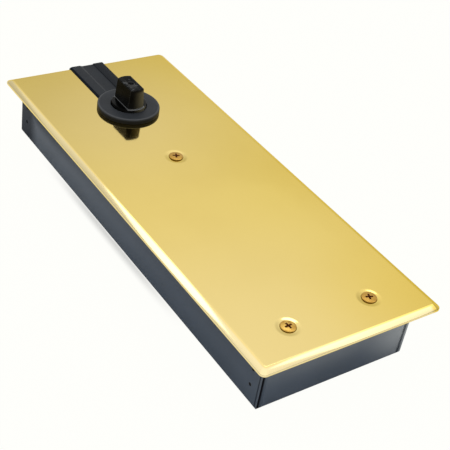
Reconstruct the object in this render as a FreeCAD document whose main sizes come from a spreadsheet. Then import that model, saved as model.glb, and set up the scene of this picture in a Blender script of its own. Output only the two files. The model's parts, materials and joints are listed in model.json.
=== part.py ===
"""Double action floor spring: a cam and roller door closer in a shallow cement box.

The frame is in millimetres. Its origin is on the spindle's axis at the underside of the
cement box, +X runs along the box towards its long end and +Z is up, out of the floor.
"""
import FreeCAD
import Part
import Sketcher
import math
import os

Vector = FreeCAD.Vector

# Driving dimensions in millimetres, degrees and counts.
SIZES = {
    # Cover plate, pressed from sheet with a bevelled rim
    "plate_length": 330.0,
    "plate_width": 132.0,
    "plate_corner": 3.5,
    "plate_inner_corner": 1.2,
    "plate_sheet": 1.5,
    "plate_rise": 2.3,
    "bevel_width": 4.0,
    "spindle_to_end": 67.9,
    "plate_shift": 1.6,
    # Cement box, folded from sheet
    "overhang_far": 6.0,
    "overhang_near": 11.0,
    "overhang_side": 11.0,
    "box_sheet": 1.5,
    "box_bend": 2.5,
    "flap_length": 14.0,
    "corner_slit": 1.2,
    "spot_radius": 1.3,
    "spot_inset": 8.9,
    "spot_low": 13.5,
    "spot_spacing": 11.8,
    "spot_depth": 0.5,
    # Closer body, a casting
    "foot_height": 3.8,
    "floor_thickness": 4.0,
    "chamber_gap": 1.1,
    "chamber_wall": 9.5,
    "bore_radius": 13.0,
    "bore_wall": 4.0,
    "web_half_width": 20.0,
    "web_height": 6.0,
    "body_end_room": 23.0,
    "lug_height": 8.5,
    "lug_radius": 8.5,
    "far_lug_x": -34.0,
    "far_lug_y": 38.0,
    "near_lug_back": 13.0,
    "ear_inner": 21.5,
    "ear_outer": 38.5,
    "tail_screw_in": 12.0,
    "tail_screw_y": 30.0,
    "front_screw_x": 66.6,
    "boss_radius": 6.5,
    "lid_seat_gap": 0.6,
    # Chamber lid with the upper bearing
    "gasket_thickness": 0.5,
    "lid_thickness": 4.0,
    "lid_drop": 3.3,
    "lid_boss_radius": 21.0,
    "lip_gap": 1.0,
    "carrier_wall": 3.0,
    "race_inset": 0.5,
    "race_length": 8.0,
    "race_wall": 2.5,
    "roller_radius_upper": 1.75,
    "bearing_gap": 0.03,
    "race_lip": 0.8,
    "seal_height": 3.0,
    "seal_wall": 4.5,
    "lid_screw_wall": 4.7,
    "lid_screw_radius": 2.0,
    "lid_screw_length": 11.0,
    "lid_head_radius": 3.75,
    # Thrust bearing under the spindle
    "thrust_washer": 1.9,
    "thrust_ball_radius": 1.55,
    "thrust_outer": 12.5,
    "stub_radius": 6.0,
    "stub_depth": 2.0,
    "stub_gap": 0.3,
    # Spindle
    "journal_radius": 10.0,
    "cam_seat_radius": 9.0,
    "shoulder_radius": 12.4,
    "shoulder_height": 5.8,
    "shoulder_gap": 0.9,
    "drive_height": 14.9,
    "drive_base_radius": 11.5,
    "drive_top_radius": 10.9,
    "drive_base_width": 13.0,
    "drive_top_width": 10.6,
    "drive_chamfer": 0.5,
    "tapped_radius": 2.1,
    "tapped_depth": 14.0,
    # Heart cam, roller and fork
    "hub_height": 10.0,
    "hub_radius": 11.4,
    "cam_thickness": 9.0,
    "roller_radius": 7.0,
    "roller_height": 8.8,
    "roller_distance": 19.0,
    "cam_lift": 18.0,
    "opening_angle": 130.0,
    "cam_overrun": 10.0,
    "cam_gap": 0.15,
    "key_width": 4.0,
    "key_rise": 1.5,
    "pin_radius": 3.0,
    "running_gap": 0.05,
    "fit_gap": 0.02,
    "fork_tip": 5.0,
    "fork_half": 8.5,
    "fork_gap": 1.0,
    "fork_back": 8.0,
    "fork_length": 20.0,
    # Piston, spring and end plug
    "piston_length": 38.0,
    "ring_width": 3.0,
    "ring_depth": 2.0,
    "ring_from_back": 10.0,
    "valve_seat_radius": 4.5,
    "valve_seat_depth": 8.0,
    "valve_ball_radius": 2.2,
    "oilway_radius": 1.5,
    "wire_radius": 2.1,
    "spring_wall_gap": 0.3,
    "spring_turns": 13,
    "spring_end_gap": 0.7,
    "spring_seat": 3.0,
    "plug_length": 12.0,
    "plug_flange": 4.0,
    "plug_flange_radius": 16.0,
    "plug_socket": 12.0,
    "plug_socket_depth": 9.0,
    "seal_width": 3.0,
    "seal_depth": 1.8,
    # Speed valves
    "closing_valve_x": 58.0,
    "latching_valve_x": 84.0,
    "valve_y": 24.0,
    "valve_boss_radius": 7.0,
    "valve_web_half": 5.5,
    "valve_radius": 4.0,
    "valve_length": 16.0,
    "valve_tip": 3.0,
    "valve_sunk": 1.0,
    "valve_slot": 1.2,
    # Studs, washers and nuts that hold the body in the box
    "stud_radius": 3.0,
    "stud_length": 20.0,
    "stud_hole_gap": 1.0,
    "washer_radius": 6.0,
    "washer_thickness": 1.6,
    "nut_flats": 10.0,
    "nut_height": 5.0,
    # Cover screws
    "screw_radius": 2.5,
    "screw_length": 7.5,
    "head_radius": 4.85,
    "head_cone": 2.35,
    "head_dome": 0.9,
    "head_edge": 0.15,
    "screw_hole_gap": 0.1,
    "cross_length": 5.6,
    "cross_width": 1.3,
    "cross_depth": 1.9,
    # Ring round the spindle and the filler of the plate's slot
    "ring_radius": 22.4,
    "ring_height": 3.8,
    "ring_edge": 0.5,
    "ring_spigot": 18.7,
    "ring_bore_gap": 0.5,
    "ring_hole_gap": 0.3,
    "filler_half": 14.0,
    "slot_gap": 0.15,
    "filler_flange": 3.8,
    "filler_flange_gap": 0.2,
    "filler_left_proud": 0.9,
    "filler_channel_proud": 0.15,
    "filler_right_proud": 0.8,
    "filler_step": 5.6,
    "filler_left_step": 5.4,
    "filler_channel_start": 3.5,
    "filler_chamfer": 0.8,
    "filler_bevel": 1.7,
    "filler_bevel_drop": 0.8,
    "filler_end_inset": 2.0,
    "filler_ring_gap": 0.3,
}

# Heights, each worked up from the one below.
BODY_BASE = "(Sizes.box_sheet + Sizes.foot_height)"
CHAMBER_FLOOR = f"({BODY_BASE} + Sizes.floor_thickness)"
BALL_SPACE = "(2 * Sizes.thrust_ball_radius + 4 * Sizes.fit_gap)"
HUB_BASE = f"({CHAMBER_FLOOR} + 2 * Sizes.thrust_washer + {BALL_SPACE})"
BORE_HEIGHT = f"({HUB_BASE} + Sizes.hub_height / 2)"
HUB_TOP = f"({HUB_BASE} + Sizes.hub_height)"
CARRIER_BASE = f"({BORE_HEIGHT} + Sizes.fork_half + Sizes.fork_gap)"
RACE_BASE = f"({CARRIER_BASE} + Sizes.race_inset)"
RACE_TOP = f"({RACE_BASE} + Sizes.race_length)"
SEAL_BASE = f"({RACE_TOP} + Sizes.race_lip)"
PLATE_UNDER = f"({SEAL_BASE} + Sizes.seal_height)"
PLATE_TOP = f"({PLATE_UNDER} + Sizes.plate_sheet)"
RIM_BASE = f"({PLATE_UNDER} - Sizes.plate_rise)"
RIM_TOP = f"({RIM_BASE} + Sizes.plate_sheet)"
LID_TOP = f"({PLATE_UNDER} - Sizes.lid_drop)"
LID_BASE = f"({LID_TOP} - Sizes.lid_thickness)"
CHAMBER_TOP = f"({LID_BASE} - Sizes.gasket_thickness)"
LUG_TOP = f"({BODY_BASE} + Sizes.lug_height)"
SHOULDER_BASE = f"({PLATE_UNDER} + Sizes.shoulder_gap)"
SHOULDER_TOP = f"({PLATE_TOP} + Sizes.shoulder_height)"
DRIVE_TOP = f"({SHOULDER_TOP} + Sizes.drive_height)"
RING_TOP = f"({PLATE_TOP} + Sizes.ring_height)"
VALVE_TOP = f"({BORE_HEIGHT} + Sizes.bore_radius + Sizes.bore_wall - Sizes.valve_sunk)"

# Places along the box.
PLATE_FAR = "(-Sizes.spindle_to_end)"
PLATE_NEAR = "(Sizes.plate_length - Sizes.spindle_to_end)"
BOX_FAR = f"({PLATE_FAR} + Sizes.overhang_far)"
BOX_NEAR = f"({PLATE_NEAR} - Sizes.overhang_near)"
BOX_HALF = "(Sizes.plate_width / 2 - Sizes.overhang_side)"
BOX_HALF_INNER = f"({BOX_HALF} - Sizes.box_sheet)"
BOX_NEAR_INNER = f"({BOX_NEAR} - Sizes.box_sheet)"
TAIL_SCREW_X = f"({BOX_NEAR_INNER} - Sizes.tail_screw_in)"
BODY_END = f"({BOX_NEAR_INNER} - Sizes.body_end_room)"
NEAR_LUG_X = f"({BODY_END} - Sizes.near_lug_back)"
FORK_TIP_X = "(Sizes.roller_distance - Sizes.fork_tip)"
SKIRT_START = f"({FORK_TIP_X} + Sizes.fork_length)"
PISTON_BACK = f"({SKIRT_START} + Sizes.piston_length)"
PLUG_FACE = f"({BODY_END} - Sizes.plug_length)"
SEAT_FACE = f"({PLUG_FACE} - Sizes.spring_seat)"

# Radii that other pieces set.
CAM_REACH = (
    "(Sizes.roller_distance - Sizes.roller_radius"
    " + Sizes.cam_lift * (1 + Sizes.cam_overrun / Sizes.opening_angle))"
)
CHAMBER_RADIUS = f"({CAM_REACH} + Sizes.chamber_gap)"
DRUM_RADIUS = f"({CHAMBER_RADIUS} + Sizes.chamber_wall)"
LID_SCREW_CIRCLE = f"({DRUM_RADIUS} - Sizes.lid_screw_wall)"
RACE_RADIUS = "(Sizes.journal_radius + 2 * Sizes.roller_radius_upper + 2 * Sizes.bearing_gap)"
CARRIER_BORE = f"({RACE_RADIUS} + Sizes.race_wall)"
PISTON_RADIUS = "(Sizes.bore_radius - Sizes.running_gap)"
TUBE_RADIUS = "(Sizes.bore_radius + Sizes.bore_wall)"
PLATE_HOLE = "(Sizes.ring_spigot + Sizes.ring_hole_gap)"

# Counts and first angles of what stands in a ring.
LID_SCREWS = 6
LID_SCREW_ANGLE = 30.0
FIRST_LID_SCREW = (
    f"{LID_SCREW_CIRCLE} * cos({LID_SCREW_ANGLE} deg)",
    f"{LID_SCREW_CIRCLE} * sin({LID_SCREW_ANGLE} deg)",
)
UPPER_ROLLERS = 14
THRUST_BALLS = 11

# Points along one flank of the cam, and spans in one turn of the spring.
FLANK_POINTS = 13
SPRING_SPANS = 4

doc = FreeCAD.newDocument("floor_spring")


def make_sheet():
    """The spreadsheet with one named cell for each driving dimension."""
    sheet = doc.addObject("Spreadsheet::Sheet", "Sizes")
    for row, (alias, value) in enumerate(SIZES.items(), start=1):
        sheet.set(f"A{row}", alias.replace("_", " "))
        sheet.set(f"B{row}", str(value))
        sheet.setAlias(f"B{row}", alias)
    doc.recompute()
    return sheet


sizes = make_sheet()


def number(expression):
    """The value of an expression over the sheet's cells."""
    value = sizes.evalExpression(str(expression))
    return float(getattr(value, "Value", value))


def new_body(label):
    """An empty body whose label names the sub-part."""
    body = doc.addObject("PartDesign::Body", label)
    body.Label = label
    return body


def place(item, x="0", y="0", z="0"):
    """Ties an item's place to expressions."""
    for axis, expression in zip("xyz", (x, y, z)):
        item.setExpression(f"Placement.Base.{axis}", str(expression))


def new_sketch(body, role, offset="0"):
    """A sketch on one of the body's own origin planes, moved along the plane's normal."""
    sketch = body.newObject("Sketcher::SketchObject", f"{body.Label}_sketch")
    plane = [item for item in body.Origin.OriginFeatures if item.Role == role][0]
    sketch.AttachmentSupport = [(plane, "")]
    sketch.MapMode = "FlatFace"
    sketch.setExpression("AttachmentOffset.Base.z", offset)
    return sketch


def measure(sketch, kind, *where, expression):
    """Adds a dimension to a sketch and ties it to an expression."""
    index = sketch.addConstraint(Sketcher.Constraint(kind, *where, number(expression)))
    sketch.setExpression(f"Constraints[{index}]", str(expression))


def outline(sketch, corners):
    """Draws a closed outline of straight lines through corners given as pairs of expressions."""
    first = sketch.GeometryCount
    count = len(corners)
    points = [Vector(number(x), number(y), 0) for x, y in corners]
    for i in range(count):
        sketch.addGeometry(Part.LineSegment(points[i], points[(i + 1) % count]))
    for i in range(count):
        following = first + (i + 1) % count
        sketch.addConstraint(Sketcher.Constraint("Coincident", first + i, 2, following, 1))
    for i, (x, y) in enumerate(corners):
        measure(sketch, "DistanceX", -1, 1, first + i, 1, expression=x)
        measure(sketch, "DistanceY", -1, 1, first + i, 1, expression=y)


def rectangle(sketch, left, right, bottom, top):
    """Draws a rectangle between four expressions."""
    outline(sketch, [(left, bottom), (right, bottom), (right, top), (left, top)])


def circle(sketch, x, y, radius):
    """Draws a circle with its centre and radius tied to expressions."""
    shape = Part.Circle(Vector(number(x), number(y), 0), Vector(0, 0, 1), number(radius))
    index = sketch.addGeometry(shape)
    measure(sketch, "Radius", index, expression=radius)
    measure(sketch, "DistanceX", -1, 1, index, 3, expression=x)
    measure(sketch, "DistanceY", -1, 1, index, 3, expression=y)


def rounded_rectangle(sketch, left, right, half_width, radius):
    """Draws a rectangle across the X axis whose corners are tangent arcs."""
    start, end, half, bend = (number(item) for item in (left, right, half_width, radius))
    lines = [
        ((start + bend, -half), (end - bend, -half)),
        ((end, bend - half), (end, half - bend)),
        ((end - bend, half), (start + bend, half)),
        ((start, half - bend), (start, bend - half)),
    ]
    centres = [
        (end - bend, bend - half),
        (end - bend, half - bend),
        (start + bend, half - bend),
        (start + bend, bend - half),
    ]
    for i in range(4):
        sketch.addGeometry(Part.LineSegment(Vector(*lines[i][0], 0), Vector(*lines[i][1], 0)))
        arc = Part.Circle(Vector(*centres[i], 0), Vector(0, 0, 1), bend)
        turn = (i - 1) * math.pi / 2
        sketch.addGeometry(Part.ArcOfCircle(arc, turn, turn + math.pi / 2))
    for i in range(4):
        sketch.addConstraint(Sketcher.Constraint("Tangent", 2 * i, 2, 2 * i + 1, 1))
        sketch.addConstraint(Sketcher.Constraint("Tangent", 2 * i + 1, 2, (2 * i + 2) % 8, 1))
    for i in (1, 2, 3):
        sketch.addConstraint(Sketcher.Constraint("Equal", 1, 2 * i + 1))
    sketch.addConstraint(Sketcher.Constraint("Horizontal", 0))
    sketch.addConstraint(Sketcher.Constraint("Vertical", 2))
    measure(sketch, "Radius", 1, expression=radius)
    measure(sketch, "DistanceY", -1, 1, 0, 1, expression=f"-({half_width})")
    measure(sketch, "DistanceX", -1, 1, 2, 1, expression=right)
    measure(sketch, "DistanceY", -1, 1, 4, 1, expression=half_width)
    measure(sketch, "DistanceX", -1, 1, 6, 1, expression=left)


def add(body, kind, sketch, length, reverse=False, midplane=False):
    """Pads or pockets a sketch over a length."""
    feature = body.newObject(f"PartDesign::{kind}", f"{body.Label}_{kind.lower()}")
    feature.Profile = sketch
    feature.setExpression("Length", length)
    feature.Reversed = reverse
    feature.Midplane = midplane
    sketch.Visibility = False
    return feature


def pad(body, role, draw, start, end):
    """Pads what draw puts in a sketch from one distance along the plane's normal to another."""
    sketch = new_sketch(body, role, start)
    draw(sketch)
    return add(body, "Pad", sketch, f"({end}) - ({start})")


def cut(body, role, draw, start, end):
    """Cuts what draw puts in a sketch from one distance along the plane's normal to another."""
    sketch = new_sketch(body, role, start)
    draw(sketch)
    return add(body, "Pocket", sketch, f"({end}) - ({start})", reverse=True)


def revolve(body, corners, axis="V_Axis"):
    """Turns half of a section, drawn in the XZ plane, about the sketch's own axis."""
    sketch = new_sketch(body, "XZ_Plane")
    outline(sketch, corners)
    feature = body.newObject("PartDesign::Revolution", f"{body.Label}_turn")
    feature.Profile = sketch
    feature.ReferenceAxis = (sketch, [axis])
    feature.Angle = 360
    return feature


def turned(label, corners, axis="V_Axis"):
    """A body turned from half of its section."""
    body = new_body(label)
    revolve(body, corners, axis)
    return body


def ring_section(inner, outer, low, high):
    """Half of the section of a plain ring."""
    return [(inner, low), (outer, low), (outer, high), (inner, high)]


def polar(body, feature, count):
    """Repeats a feature round the body's own Z axis."""
    pattern = body.newObject("PartDesign::PolarPattern", f"{body.Label}_pattern")
    pattern.Originals = [feature]
    axis = [item for item in body.Origin.OriginFeatures if item.Role == "Z_Axis"][0]
    pattern.Axis = (axis, [""])
    pattern.Angle = 360
    pattern.Occurrences = count
    body.Tip = pattern
    return pattern


def mirror(body, features, role="XZ_Plane"):
    """Repeats features on the other side of one of the body's origin planes."""
    copy = body.newObject("PartDesign::Mirrored", f"{body.Label}_mirror")
    copy.Originals = features
    plane = [item for item in body.Origin.OriginFeatures if item.Role == role][0]
    copy.MirrorPlane = (plane, [""])
    body.Tip = copy
    return copy


def group(label, piece, places):
    """One sub-part made of the same piece at several places."""
    links = []
    for x, y, z in places:
        link = doc.addObject("App::Link", f"{label}_copy")
        link.LinkedObject = piece
        place(link, x, y, z)
        links.append(link)
    compound = doc.addObject("Part::Compound", label)
    compound.Label = label
    compound.Links = links
    return compound


def around(count, radius, height, first_angle=0.0):
    """Places evenly round the spindle's axis, as expressions."""
    places = []
    for i in range(count):
        angle = first_angle + 360.0 * i / count
        places.append((f"({radius}) * cos({angle} deg)", f"({radius}) * sin({angle} deg)", height))
    return places


def cover_plate():
    """Pressed cover plate: a bevelled rim, the spindle's hole, the slot and three screw holes."""
    body = new_body("cover_plate")
    rim = plate_sketch(body, RIM_BASE)
    rounded_rectangle(rim, PLATE_FAR, PLATE_NEAR, "Sizes.plate_width / 2", "Sizes.plate_corner")
    add(body, "Pad", rim, "Sizes.plate_sheet")
    bevel_loft(body, "AdditiveLoft", RIM_TOP, PLATE_TOP, "0", "Sizes.bevel_width")
    bevel_loft(
        body, "SubtractiveLoft", RIM_BASE, PLATE_UNDER,
        "Sizes.plate_sheet / 2", "Sizes.bevel_width + Sizes.plate_sheet / 2",
    )
    cut(body, "XY_Plane", lambda s: circle(s, "0", "0", PLATE_HOLE), RIM_BASE, PLATE_TOP)
    slot_half = "Sizes.filler_half + Sizes.slot_gap"
    cut(
        body, "XY_Plane",
        lambda s: rectangle(s, f"{PLATE_FAR} - 1", "0", f"-({slot_half})", slot_half),
        RIM_BASE, f"{PLATE_TOP} + 1",
    )
    doc.recompute()
    screw_holes(body, PLATE_TOP, "Sizes.plate_sheet + 1")
    return body


def plate_sketch(body, height):
    """A level sketch on the plate's own middle line, which lies beside the spindle's."""
    sketch = new_sketch(body, "XY_Plane", height)
    sketch.setExpression("AttachmentOffset.Base.y", "Sizes.plate_shift")
    return sketch


def bevel_loft(body, kind, low, high, low_inset, high_inset):
    """A loft between two rounded rectangles set in from the plate's edge."""
    sketches = []
    corners = ("Sizes.plate_corner", "Sizes.plate_inner_corner")
    for height, inset, corner in zip((low, high), (low_inset, high_inset), corners):
        sketch = plate_sketch(body, height)
        rounded_rectangle(
            sketch,
            f"{PLATE_FAR} + {inset}",
            f"{PLATE_NEAR} - ({inset})",
            f"Sizes.plate_width / 2 - ({inset})",
            corner,
        )
        sketches.append(sketch)
    loft = body.newObject(f"PartDesign::{kind}", f"{body.Label}_bevel")
    loft.Profile = sketches[0]
    loft.Sections = [sketches[1]]
    loft.Ruled = True


def screw_places():
    """Centres of the three cover screws."""
    return [
        ("Sizes.front_screw_x", "0"),
        (TAIL_SCREW_X, "-Sizes.tail_screw_y"),
        (TAIL_SCREW_X, "Sizes.tail_screw_y"),
    ]


def screw_holes(body, top, depth):
    """Countersunk holes for the cover screws, from a height down."""
    sketch = new_sketch(body, "XY_Plane", top)
    for x, y in screw_places():
        circle(sketch, x, y, "Sizes.screw_radius")
    hole = body.newObject("PartDesign::Hole", f"{body.Label}_screw_holes")
    hole.Profile = sketch
    hole.Threaded = False
    hole.DepthType = "Dimension"
    hole.HoleCutType = "Countersink"
    hole.HoleCutCustomValues = True
    hole.setExpression("Diameter", "2 * (Sizes.screw_radius + Sizes.screw_hole_gap)")
    hole.setExpression("Depth", depth)
    hole.setExpression("HoleCutDiameter", "2 * (Sizes.head_radius + Sizes.screw_hole_gap)")
    hole.HoleCutCountersinkAngle = 90
    hole.DrillPoint = "Flat"


def cement_box():
    """Folded box: side walls along the whole length, end walls with flaps spot welded inside."""
    body = new_body("cement_box")
    place(body, y="Sizes.plate_shift")
    block = pad(
        body, "XY_Plane",
        lambda s: rectangle(s, BOX_FAR, BOX_NEAR, f"-{BOX_HALF}", BOX_HALF),
        "0", PLATE_UNDER,
    )
    doc.recompute()
    fold = body.newObject("PartDesign::Fillet", "cement_box_folds")
    fold.Base = (block, [f"Edge{i + 1}" for i in lowest_edges(block.Shape)])
    fold.setExpression("Radius", "Sizes.box_bend")
    box_far_inner = f"{BOX_FAR} + Sizes.box_sheet"
    cut(
        body, "XY_Plane",
        lambda s: rectangle(s, box_far_inner, BOX_NEAR_INNER, f"-{BOX_HALF_INNER}", BOX_HALF_INNER),
        "Sizes.box_sheet", f"{PLATE_UNDER} + 1",
    )
    for face, inward in ((BOX_FAR, "1"), (BOX_NEAR, "-1")):
        for side in ("1", "-1"):
            corner_fold(body, face, inward, side)
    half = "(Sizes.filler_half + Sizes.filler_flange + Sizes.filler_flange_gap)"
    cut(
        body, "XY_Plane",
        lambda s: rectangle(
            s, f"{BOX_FAR} - 1", f"{box_far_inner} + 1",
            f"-{half} - Sizes.plate_shift", f"{half} - Sizes.plate_shift",
        ),
        RIM_BASE, f"{PLATE_UNDER} + 1",
    )
    spots = new_sketch(body, "XZ_Plane", BOX_HALF)
    for x in (f"{BOX_FAR} + Sizes.spot_inset", f"{BOX_NEAR} - Sizes.spot_inset"):
        for z in ("Sizes.spot_low", "Sizes.spot_low + Sizes.spot_spacing"):
            circle(spots, x, z, "Sizes.spot_radius")
    dimples = add(body, "Pocket", spots, "Sizes.spot_depth")
    mirror(body, [dimples])
    return body


def lowest_edges(shape):
    """Numbers of the edges round the underside of a shape."""
    low = shape.BoundBox.ZMin + 1e-6
    return [i for i, edge in enumerate(shape.Edges) if edge.BoundBox.ZMax < low]


def corner_fold(body, face, inward, side):
    """A flap of the end wall, bent inside the side wall, with the slit that the bend leaves."""
    bend = "Sizes.box_bend"
    flap_end = f"{face} + {inward} * Sizes.flap_length"
    flap_inner = f"{side} * ({BOX_HALF_INNER} - Sizes.box_sheet)"
    wall = f"{face} + {inward} * Sizes.box_sheet / 2"
    pad(
        body, "XY_Plane",
        lambda s: rectangle(s, wall, flap_end, flap_inner, f"{side} * {BOX_HALF_INNER}"),
        "Sizes.box_sheet", PLATE_UNDER,
    )
    cut(
        body, "XY_Plane",
        lambda s: outline(
            s,
            [
                (f"{face} - {inward}", f"{side} * ({BOX_HALF_INNER} - Sizes.corner_slit - {bend} / 2)"),
                (face, f"{side} * ({BOX_HALF_INNER} - Sizes.corner_slit - {bend} / 2)"),
                (f"{face} + {inward} * {bend} / 4", f"{side} * ({BOX_HALF_INNER} - Sizes.corner_slit)"),
                (f"{face} + {inward} * {bend} / 2", f"{side} * {BOX_HALF_INNER}"),
                (f"{face} - {inward}", f"{side} * {BOX_HALF_INNER}"),
            ],
        ),
        "Sizes.box_sheet", f"{PLATE_UNDER} + 1",
    )


def slot_filler():
    """Stepped bar that fills the plate's slot, with a flange that the plate holds down."""
    body = new_body("slot_filler")
    half = "Sizes.filler_half"
    left = f"{PLATE_TOP} + Sizes.filler_left_proud"
    channel = f"{PLATE_TOP} + Sizes.filler_channel_proud"
    right = f"{PLATE_TOP} + Sizes.filler_right_proud"
    section = [
        (f"-{half}", RIM_BASE), (half, RIM_BASE),
        (half, f"{right} - Sizes.filler_chamfer / 2"),
        (f"{half} - Sizes.filler_chamfer", right),
        ("Sizes.filler_step", right),
        ("Sizes.filler_step - Sizes.filler_chamfer / 2", channel),
        ("-Sizes.filler_channel_start", channel),
        ("-Sizes.filler_left_step", left),
        (f"Sizes.filler_bevel - {half}", left),
        (f"-{half}", f"{left} - Sizes.filler_bevel_drop"),
    ]
    far = f"{PLATE_FAR} + Sizes.filler_end_inset"
    pad(body, "YZ_Plane", lambda s: outline(s, section), far, "-Sizes.ring_spigot / 2")
    wide = f"({half} + Sizes.filler_flange)"
    flange_top = f"{PLATE_UNDER} - Sizes.filler_flange_gap"
    pad(
        body, "YZ_Plane",
        lambda s: rectangle(s, f"-{wide}", wide, RIM_BASE, flange_top),
        BOX_FAR, "-Sizes.ring_spigot / 2",
    )
    reliefs = (
        ("Sizes.lid_boss_radius + Sizes.filler_ring_gap", RIM_BASE, PLATE_UNDER),
        ("Sizes.ring_spigot + Sizes.filler_ring_gap", RIM_BASE, f"{RING_TOP} + 1"),
        ("Sizes.ring_radius + Sizes.filler_ring_gap / 2", PLATE_TOP, f"{RING_TOP} + 1"),
    )
    for radius, low, high in reliefs:
        cut(body, "XY_Plane", lambda s: circle(s, "0", "0", radius), low, high)
    return body


def spindle_ring():
    """Flat ring on the plate round the spindle's shoulder, with a spigot in the plate's hole."""
    bore = "Sizes.shoulder_radius + Sizes.ring_bore_gap"
    return turned(
        "spindle_ring",
        [
            (bore, PLATE_UNDER), ("Sizes.ring_spigot", PLATE_UNDER), ("Sizes.ring_spigot", PLATE_TOP),
            ("Sizes.ring_radius", PLATE_TOP), ("Sizes.ring_radius", f"{RING_TOP} - Sizes.ring_edge"),
            ("Sizes.ring_radius - Sizes.ring_edge", RING_TOP), (bore, RING_TOP),
        ],
    )


def cover_screws():
    """Raised countersunk screws with a cross recess."""
    screw = new_body("cover_screw")
    dome = "Sizes.head_dome"
    revolve(
        screw,
        [
            ("0", "-Sizes.screw_length"), ("Sizes.screw_radius * 0.8", "-Sizes.screw_length"),
            ("Sizes.screw_radius", "Sizes.screw_radius * 0.2 - Sizes.screw_length"),
            ("Sizes.screw_radius", "-Sizes.head_cone"), ("Sizes.head_radius", "0"),
            ("Sizes.head_radius", "Sizes.head_edge"), ("Sizes.head_radius * 0.75", f"{dome} * 0.62"),
            ("Sizes.head_radius * 0.4", f"{dome} * 0.92"), ("0", dome),
        ],
    )
    long_half = "Sizes.cross_length / 2"
    short_half = "Sizes.cross_width / 2"
    low = f"{dome} - Sizes.cross_depth"
    for x, y in ((long_half, short_half), (short_half, long_half)):
        cut(screw, "XY_Plane", lambda s: rectangle(s, f"-{x}", x, f"-{y}", y), low, f"{dome} + 1")
    return group("cover_screws", screw, [(x, y, PLATE_TOP) for x, y in screw_places()])


def closer_body():
    """Casting: the cam chamber, the cylinder, valve bosses, cover bosses and fixing lugs."""
    body = new_body("closer_body")
    pad(body, "XY_Plane", lambda s: circle(s, "0", "0", DRUM_RADIUS), BODY_BASE, CHAMBER_TOP)
    tube_start = f"{CHAMBER_RADIUS} / 2"
    pad(body, "YZ_Plane", lambda s: circle(s, "0", BORE_HEIGHT, TUBE_RADIUS), tube_start, BODY_END)
    web = "Sizes.web_half_width"
    pad(
        body, "XY_Plane",
        lambda s: rectangle(s, tube_start, BODY_END, f"-{web}", web),
        BODY_BASE, f"{BODY_BASE} + Sizes.web_height",
    )
    body_lugs(body)
    body_bosses(body)
    seat = f"{DRUM_RADIUS} + Sizes.lid_seat_gap"
    cut(body, "XY_Plane", lambda s: circle(s, "0", "0", seat), CHAMBER_TOP, f"{PLATE_TOP} + 1")
    cut(body, "XY_Plane", lambda s: circle(s, "0", "0", CHAMBER_RADIUS), CHAMBER_FLOOR, CHAMBER_TOP)
    stub = "Sizes.stub_radius + Sizes.stub_gap"
    stub_low = f"{CHAMBER_FLOOR} - Sizes.stub_depth"
    cut(body, "XY_Plane", lambda s: circle(s, "0", "0", stub), stub_low, CHAMBER_FLOOR)
    cut(
        body, "YZ_Plane",
        lambda s: circle(s, "0", BORE_HEIGHT, "Sizes.bore_radius"),
        tube_start, f"{BODY_END} + 1",
    )
    body_holes(body)
    return body


def body_bosses(body):
    """Bosses for the cover screws and the two speed valves."""
    boss = "Sizes.boss_radius"
    front = ("Sizes.front_screw_x", "0")
    pad(body, "XY_Plane", lambda s: circle(s, *front, boss), BORE_HEIGHT, PLATE_UNDER)
    for x, y in screw_places()[1:]:
        pad(body, "XY_Plane", lambda s: circle(s, x, y, boss), BODY_BASE, PLATE_UNDER)
    valve_top = f"{VALVE_TOP} + Sizes.valve_sunk"
    for x in ("Sizes.closing_valve_x", "Sizes.latching_valve_x"):
        left = f"{x} - Sizes.valve_web_half"
        right = f"{x} + Sizes.valve_web_half"
        pad(
            body, "XY_Plane",
            lambda s: rectangle(s, left, right, "Sizes.bore_radius", "Sizes.valve_y"),
            BODY_BASE, f"{BORE_HEIGHT} + Sizes.bore_radius",
        )
        pad(
            body, "XY_Plane",
            lambda s: circle(s, x, "Sizes.valve_y", "Sizes.valve_boss_radius"),
            BODY_BASE, valve_top,
        )


def lug_places():
    """Centres of the four fixing studs."""
    return [
        ("Sizes.far_lug_x", "-Sizes.far_lug_y"),
        ("Sizes.far_lug_x", "Sizes.far_lug_y"),
        (NEAR_LUG_X, "-Sizes.tail_screw_y"),
        (NEAR_LUG_X, "Sizes.tail_screw_y"),
    ]


def body_lugs(body):
    """Ears that carry the tail bosses and pads that stand on the box's floor."""
    for side in ("1", "-1"):
        pad(
            body, "XY_Plane",
            lambda s: outline(
                s,
                [
                    (f"{NEAR_LUG_X} - Sizes.lug_radius * 1.6", f"{side} * Sizes.web_half_width / 2"),
                    (BODY_END, f"{side} * Sizes.web_half_width / 2"),
                    (BODY_END, f"{side} * Sizes.ear_inner"),
                    (f"{TAIL_SCREW_X} + Sizes.boss_radius", f"{side} * Sizes.ear_inner"),
                    (f"{TAIL_SCREW_X} + Sizes.boss_radius", f"{side} * Sizes.ear_outer"),
                    (f"{NEAR_LUG_X} - Sizes.lug_radius", f"{side} * Sizes.ear_outer"),
                ],
            ),
            BODY_BASE, LUG_TOP,
        )
        far_lug_web(body, side)
    pads = new_sketch(body, "XY_Plane", "Sizes.box_sheet")
    for x, y in lug_places():
        circle(pads, x, y, "Sizes.lug_radius")
    add(body, "Pad", pads, f"{LUG_TOP} - Sizes.box_sheet")


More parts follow.
